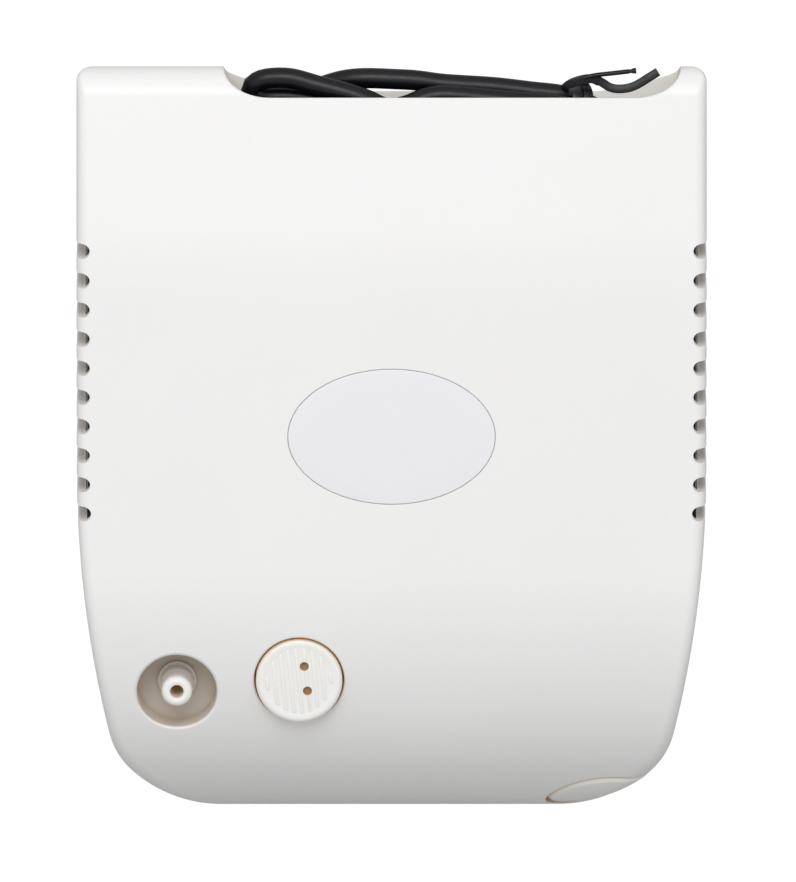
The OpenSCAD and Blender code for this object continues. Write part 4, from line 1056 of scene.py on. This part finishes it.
def moulded(name, colour, rough, drift=0.02, grain=2600, depth=0.00001, strength=0.25, scatter=0.0, gloss=0.5,
            metallic=0.0, stretch=None, hollow=None, reach=0.012, painted_glow=0.0):
    """Moulded or machined surface: slow colour drift, uneven roughness and a fine grain, with painted shade
    in hollows where a hollow colour is given.
    """
    material, nodes, links, shader = new_material(name)
    slow = object_noise(nodes, links, 22, 2.0)
    fine = object_noise(nodes, links, grain, 2.0, stretch)
    dark = tuple(c * (1 - drift) for c in colour)
    light = tuple(min(c * (1 + drift), 1) for c in colour)
    body_colour = ramp_between(nodes, links, slow, dark, light)
    links.new(body_colour, shader.inputs["Base Color"])
    # Painted shade in hollows found by occlusion, with an optional painted glowing light by emission.
    if hollow:
        paint_hollow_shade(nodes, links, shader, body_colour, hollow, reach, painted_glow)
    links.new(value_between(nodes, links, fine, rough * 0.9, min(rough * 1.12, 1)),
              shader.inputs["Roughness"])
    shader.inputs["Specular IOR Level"].default_value = gloss
    shader.inputs["Metallic"].default_value = metallic
    if scatter > 0:
        shader.inputs["Subsurface Weight"].default_value = scatter
        shader.inputs["Subsurface Radius"].default_value = (1.0, 0.75, 0.5)
        shader.inputs["Subsurface Scale"].default_value = 0.0015
    add_bump(nodes, links, shader, fine, strength, depth)
    return material


def layered(name, colours, rough, pitch, axis, metallic):
    """Stack of thin sheets or turns: fine bands across one axis, with a pitch in metres."""
    material, nodes, links, shader = new_material(name)
    coords = nodes.new("ShaderNodeTexCoord")
    wave = nodes.new("ShaderNodeTexWave")
    wave.bands_direction = axis
    wave.inputs["Scale"].default_value = 2 * math.pi / (20 * pitch)
    wave.inputs["Distortion"].default_value = 0.6
    wave.inputs["Detail"].default_value = 1.0
    wave.inputs["Detail Scale"].default_value = 30
    links.new(coords.outputs["Object"], wave.inputs["Vector"])
    links.new(ramp_between(nodes, links, wave.outputs["Fac"], *colours), shader.inputs["Base Color"])
    shader.inputs["Roughness"].default_value = rough
    shader.inputs["Metallic"].default_value = metallic
    add_bump(nodes, links, shader, wave.outputs["Fac"], 0.5, 0.00004)
    return material


def fibrous(name, colour, rough=0.95):
    """Felt: matted fibres with a soft sheen."""
    material = moulded(name, colour, rough, drift=0.08, grain=1500, depth=0.0002, strength=0.8)
    material.node_tree.nodes["Principled BSDF"].inputs["Sheen Weight"].default_value = 0.4
    return material


def make_materials():
    """One procedural material for each of the record's slots."""
    m = {}
    # Shell: painted warm shade in hollows found by occlusion within 30 mm.
    m["shell_plastic"] = moulded("shell_plastic", (0.86, 0.858, 0.85), 0.36, drift=0.006, grain=3200,
                                 depth=0.000006, strength=0.2, scatter=0.12, gloss=0.45,
                                 hollow=(0.76, 0.68, 0.58), reach=0.03)
    m["badge_plastic"] = moulded("badge_plastic", (0.83, 0.83, 0.85), 0.2, drift=0.004, grain=1800,
                                 depth=0.000003, strength=0.15, scatter=0.05)
    # White plastic: painted warm shade in hollows within 3 mm, and a painted glowing light by emission there.
    m["white_plastic"] = moulded("white_plastic", (0.90, 0.895, 0.875), 0.33, drift=0.006, scatter=0.12,
                                 depth=0.000006, strength=0.2, hollow=(0.62, 0.36, 0.12), reach=0.003,
                                 painted_glow=0.14)
    m["inner_plastic"] = moulded("inner_plastic", (0.78, 0.77, 0.73), 0.5, drift=0.03)
    m["black_plastic"] = moulded("black_plastic", (0.018, 0.018, 0.02), 0.42, drift=0.2)
    m["cord_pvc"] = moulded("cord_pvc", (0.004, 0.004, 0.0065), 0.34, drift=0.25, grain=900, depth=0.00003,
                            strength=0.35, gloss=0.34)
    m["tie_plastic"] = moulded("tie_plastic", (0.004, 0.004, 0.0065), 0.34, drift=0.3, grain=1200,
                               depth=0.00002, gloss=0.34)
    m["rubber"] = moulded("rubber", (0.02, 0.02, 0.02), 0.75, drift=0.2, grain=1400, depth=0.00003,
                          strength=0.4)
    m["foot_rubber"] = moulded("foot_rubber", (0.10, 0.10, 0.105), 0.8, drift=0.12, grain=1400, depth=0.00003,
                               strength=0.4)
    m["silicone"] = moulded("silicone", (0.62, 0.63, 0.61), 0.4, drift=0.03, scatter=0.3, grain=900)
    m["felt"] = fibrous("felt", (0.40, 0.25, 0.12))
    m["gasket"] = moulded("gasket", (0.06, 0.06, 0.055), 0.85, drift=0.15, grain=1800, depth=0.00004,
                          strength=0.5)
    m["cup_ptfe"] = moulded("cup_ptfe", (0.16, 0.15, 0.14), 0.45, drift=0.08)
    m["steel"] = moulded("steel", (0.62, 0.62, 0.63), 0.28, drift=0.05, grain=1600, metallic=1.0,
                         stretch=(0.05, 1, 1), strength=0.2)
    m["spring_steel"] = moulded("spring_steel", (0.52, 0.55, 0.60), 0.2, drift=0.06, grain=1500, metallic=1.0,
                                stretch=(1, 0.08, 1), strength=0.15)
    m["lamination"] = layered("lamination", ((0.20, 0.20, 0.21), (0.46, 0.46, 0.48)), 0.45, 0.0005, "X", 0.9)
    m["cast_aluminium"] = moulded("cast_aluminium", (0.66, 0.67, 0.68), 0.48, drift=0.07, grain=700,
                                  depth=0.00008,
                                  strength=0.5, metallic=0.95)
    m["copper"] = moulded("copper", (0.80, 0.38, 0.20), 0.3, drift=0.12, metallic=1.0)
    m["enamel_wire"] = layered("enamel_wire", ((0.30, 0.09, 0.02), (0.72, 0.28, 0.09)), 0.25, 0.0004, "Z",
                               0.85)
    m["contact_brass"] = moulded("contact_brass", (0.78, 0.58, 0.24), 0.3, drift=0.06, metallic=1.0)
    m["plug_nickel"] = moulded("plug_nickel", (0.70, 0.68, 0.63), 0.2, drift=0.04, grain=1400, metallic=1.0,
                               stretch=(0.06, 1, 1), strength=0.15)
    m["wire_pvc"] = moulded("wire_pvc", (0.55, 0.55, 0.56), 0.45, drift=0.05)
    return m


# ---------------------------------------------------------------- carried-over CAD nodes

def smooth_group():
    """Geometry nodes that shade smooth and keep edges above the given angle hard."""
    group = bpy.data.node_groups.new("smooth_by_angle", "GeometryNodeTree")
    group.interface.new_socket("Geometry", in_out="INPUT", socket_type="NodeSocketGeometry")
    group.interface.new_socket("Geometry", in_out="OUTPUT", socket_type="NodeSocketGeometry")
    nodes, links = group.nodes, group.links
    start = nodes.new("NodeGroupInput")
    end = nodes.new("NodeGroupOutput")
    faces = nodes.new("GeometryNodeSetShadeSmooth")
    faces.domain = "FACE"
    edges = nodes.new("GeometryNodeSetShadeSmooth")
    edges.domain = "EDGE"
    edges.inputs["Shade Smooth"].default_value = False
    angle = nodes.new("GeometryNodeInputMeshEdgeAngle")
    compare = nodes.new("FunctionNodeCompare")
    compare.operation = "GREATER_THAN"
    compare.inputs[1].default_value = math.radians(34)
    links.new(start.outputs[0], faces.inputs["Geometry"])
    links.new(faces.outputs["Geometry"], edges.inputs["Geometry"])
    links.new(angle.outputs["Unsigned Angle"], compare.inputs[0])
    links.new(compare.outputs["Result"], edges.inputs["Selection"])
    links.new(edges.outputs["Geometry"], end.inputs[0])
    return group


SOFT_NODES = ("intake_hose", "outlet_hose", "mains_wires", "piston_cup", "head_gasket", "intake_reed",
              "exhaust_reed")


def dress_cad_nodes(materials, slots):
    """Gives every carried-over CAD node its material, small rounded edges and smooth shading."""
    group = smooth_group()
    for name, obj in frame["nodes"].items():
        if obj.hide_render:
            continue
        obj.data.materials.clear()
        obj.data.materials.append(materials[slots[name]])
        weld = obj.modifiers.new("weld", "WELD")
        weld.merge_threshold = 0.000002
        if name not in SOFT_NODES:
            bevel = obj.modifiers.new("bevel", "BEVEL")
            bevel.width = 0.0002
            bevel.segments = 2
            bevel.limit_method = "ANGLE"
            bevel.angle_limit = math.radians(40)
            bevel.use_clamp_overlap = True
        smooth = obj.modifiers.new("smooth", "NODES")
        smooth.node_group = group


# ---------------------------------------------------------------- light, floor and camera

def make_stage():
    """Large pale floor."""
    bpy.ops.mesh.primitive_plane_add(size=8, location=(0, 0, 0))
    floor = bpy.context.object
    floor.name = "floor"
    material, nodes, links, shader = new_material("floor_paper")
    drift = object_noise(nodes, links, 3, 2.0)
    links.new(ramp_between(nodes, links, drift, (0.42, 0.42, 0.42), (0.44, 0.44, 0.44)),
              shader.inputs["Base Color"])
    shader.inputs["Roughness"].default_value = 0.9
    shader.inputs["Specular IOR Level"].default_value = 0.1
    paper = nodes.new("ShaderNodeEmission")
    paper.inputs["Color"].default_value = (1, 1, 1, 1)
    paper.inputs["Strength"].default_value = 1.1
    path = nodes.new("ShaderNodeLightPath")
    share = nodes.new("ShaderNodeMath")
    share.operation = "MULTIPLY"
    share.inputs[1].default_value = 0.92
    mix = nodes.new("ShaderNodeMixShader")
    links.new(path.outputs["Is Camera Ray"], share.inputs[0])
    links.new(share.outputs["Value"], mix.inputs["Fac"])
    links.new(shader.outputs["BSDF"], mix.inputs[1])
    links.new(paper.outputs["Emission"], mix.inputs[2])
    links.new(mix.outputs["Shader"], nodes["Material Output"].inputs["Surface"])
    floor.data.materials.append(material)


def area_light(name, place_m, aim_m, size, size_y, power, colour=(1, 1, 1)):
    data = bpy.data.lights.new(name, "AREA")
    data.shape = "RECTANGLE"
    data.size = size
    data.size_y = size_y
    data.energy = power
    data.color = colour
    light = bpy.data.objects.new(name, data)
    bpy.context.scene.collection.objects.link(light)
    light.location = place_m
    light.rotation_euler = (Vector(aim_m) - Vector(place_m)).to_track_quat("-Z", "Y").to_euler()
    return light


SKY = 0.78
SKY_LOW = 0.37
KEY = 9.6


def make_light():
    world = bpy.data.worlds.new("studio")
    world.use_nodes = True
    nodes, links = world.node_tree.nodes, world.node_tree.links
    background = nodes["Background"]
    background.inputs["Color"].default_value = (1, 1, 1, 1)
    coords = nodes.new("ShaderNodeTexCoord")
    split = nodes.new("ShaderNodeSeparateXYZ")
    links.new(coords.outputs["Generated"], split.inputs["Vector"])
    tilt = nodes.new("ShaderNodeMath")
    tilt.operation = "MULTIPLY_ADD"
    tilt.inputs[1].default_value = 0.45
    links.new(split.outputs["Y"], tilt.inputs[0])
    links.new(split.outputs["Z"], tilt.inputs[2])
    sky = nodes.new("ShaderNodeMapRange")
    sky.inputs["From Min"].default_value = -0.3
    sky.inputs["From Max"].default_value = 0.9
    sky.inputs["To Min"].default_value = SKY_LOW
    sky.inputs["To Max"].default_value = SKY
    links.new(tilt.outputs["Value"], sky.inputs["Value"])
    links.new(sky.outputs["Result"], background.inputs["Strength"])
    bpy.context.scene.world = world
    area_light("key", (-0.12, 0.62, 1.5), (0, 0, 0.05), 1.0, 0.8, KEY)
    bpy.context.scene.view_settings.view_transform = "Standard"
    bpy.context.scene.view_settings.look = "None"


def make_camera():
    """Camera straight above, as a long lens sees the object."""
    data = bpy.data.cameras.new("camera")
    data.lens = 928
    data.sensor_width = 36
    data.clip_end = 20
    camera = bpy.data.objects.new("camera", data)
    bpy.context.scene.collection.objects.link(camera)
    camera.location = (1.7 * MM, -1.07 * MM, 6.08)
    bpy.context.scene.camera = camera


# ---------------------------------------------------------------- assembly

def add_piece(obj, body, slot_name, materials, *nodes):
    """Gives the piece its material, hangs it under its body's empty and hides the CAD nodes it stands for."""
    obj.data.materials.clear()
    obj.data.materials.append(materials[slot_name])
    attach(obj, body)
    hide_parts(*nodes)


def build():
    materials = make_materials()
    slots = {part["node"]: part["material_slot"] for part in frame["record"]["subparts"]}
    shell = shade_case(cut(make_upper_shell(), seam_cutter()))
    add_piece(shell, "housing", "shell_plastic", materials, "upper_shell")
    add_piece(make_lower_shell(), "housing", "shell_plastic", materials, "lower_shell")
    add_piece(make_badge(), "housing", "badge_plastic", materials, "oval_badge")
    add_piece(make_nozzle(), "housing", "white_plastic", materials, "air_outlet_nozzle")
    add_piece(make_filter_cap(), "cap", "white_plastic", materials, "filter_cap")
    add_piece(make_button(), "button", "white_plastic", materials, "power_button")
    add_piece(make_cord(), "housing", "cord_pvc", materials, "power_cord")
    add_piece(make_tie(), "housing", "tie_plastic", materials, "cord_tie")
    add_piece(make_plug(), "housing", "cord_pvc", materials, "plug_body")
    add_piece(make_feet(), "housing", "foot_rubber", materials, "rubber_feet")
    add_piece(make_winding(), "housing", "enamel_wire", materials, "coil_winding")
    dress_cad_nodes(materials, slots)
    make_stage()
    make_light()
    make_camera()


build()
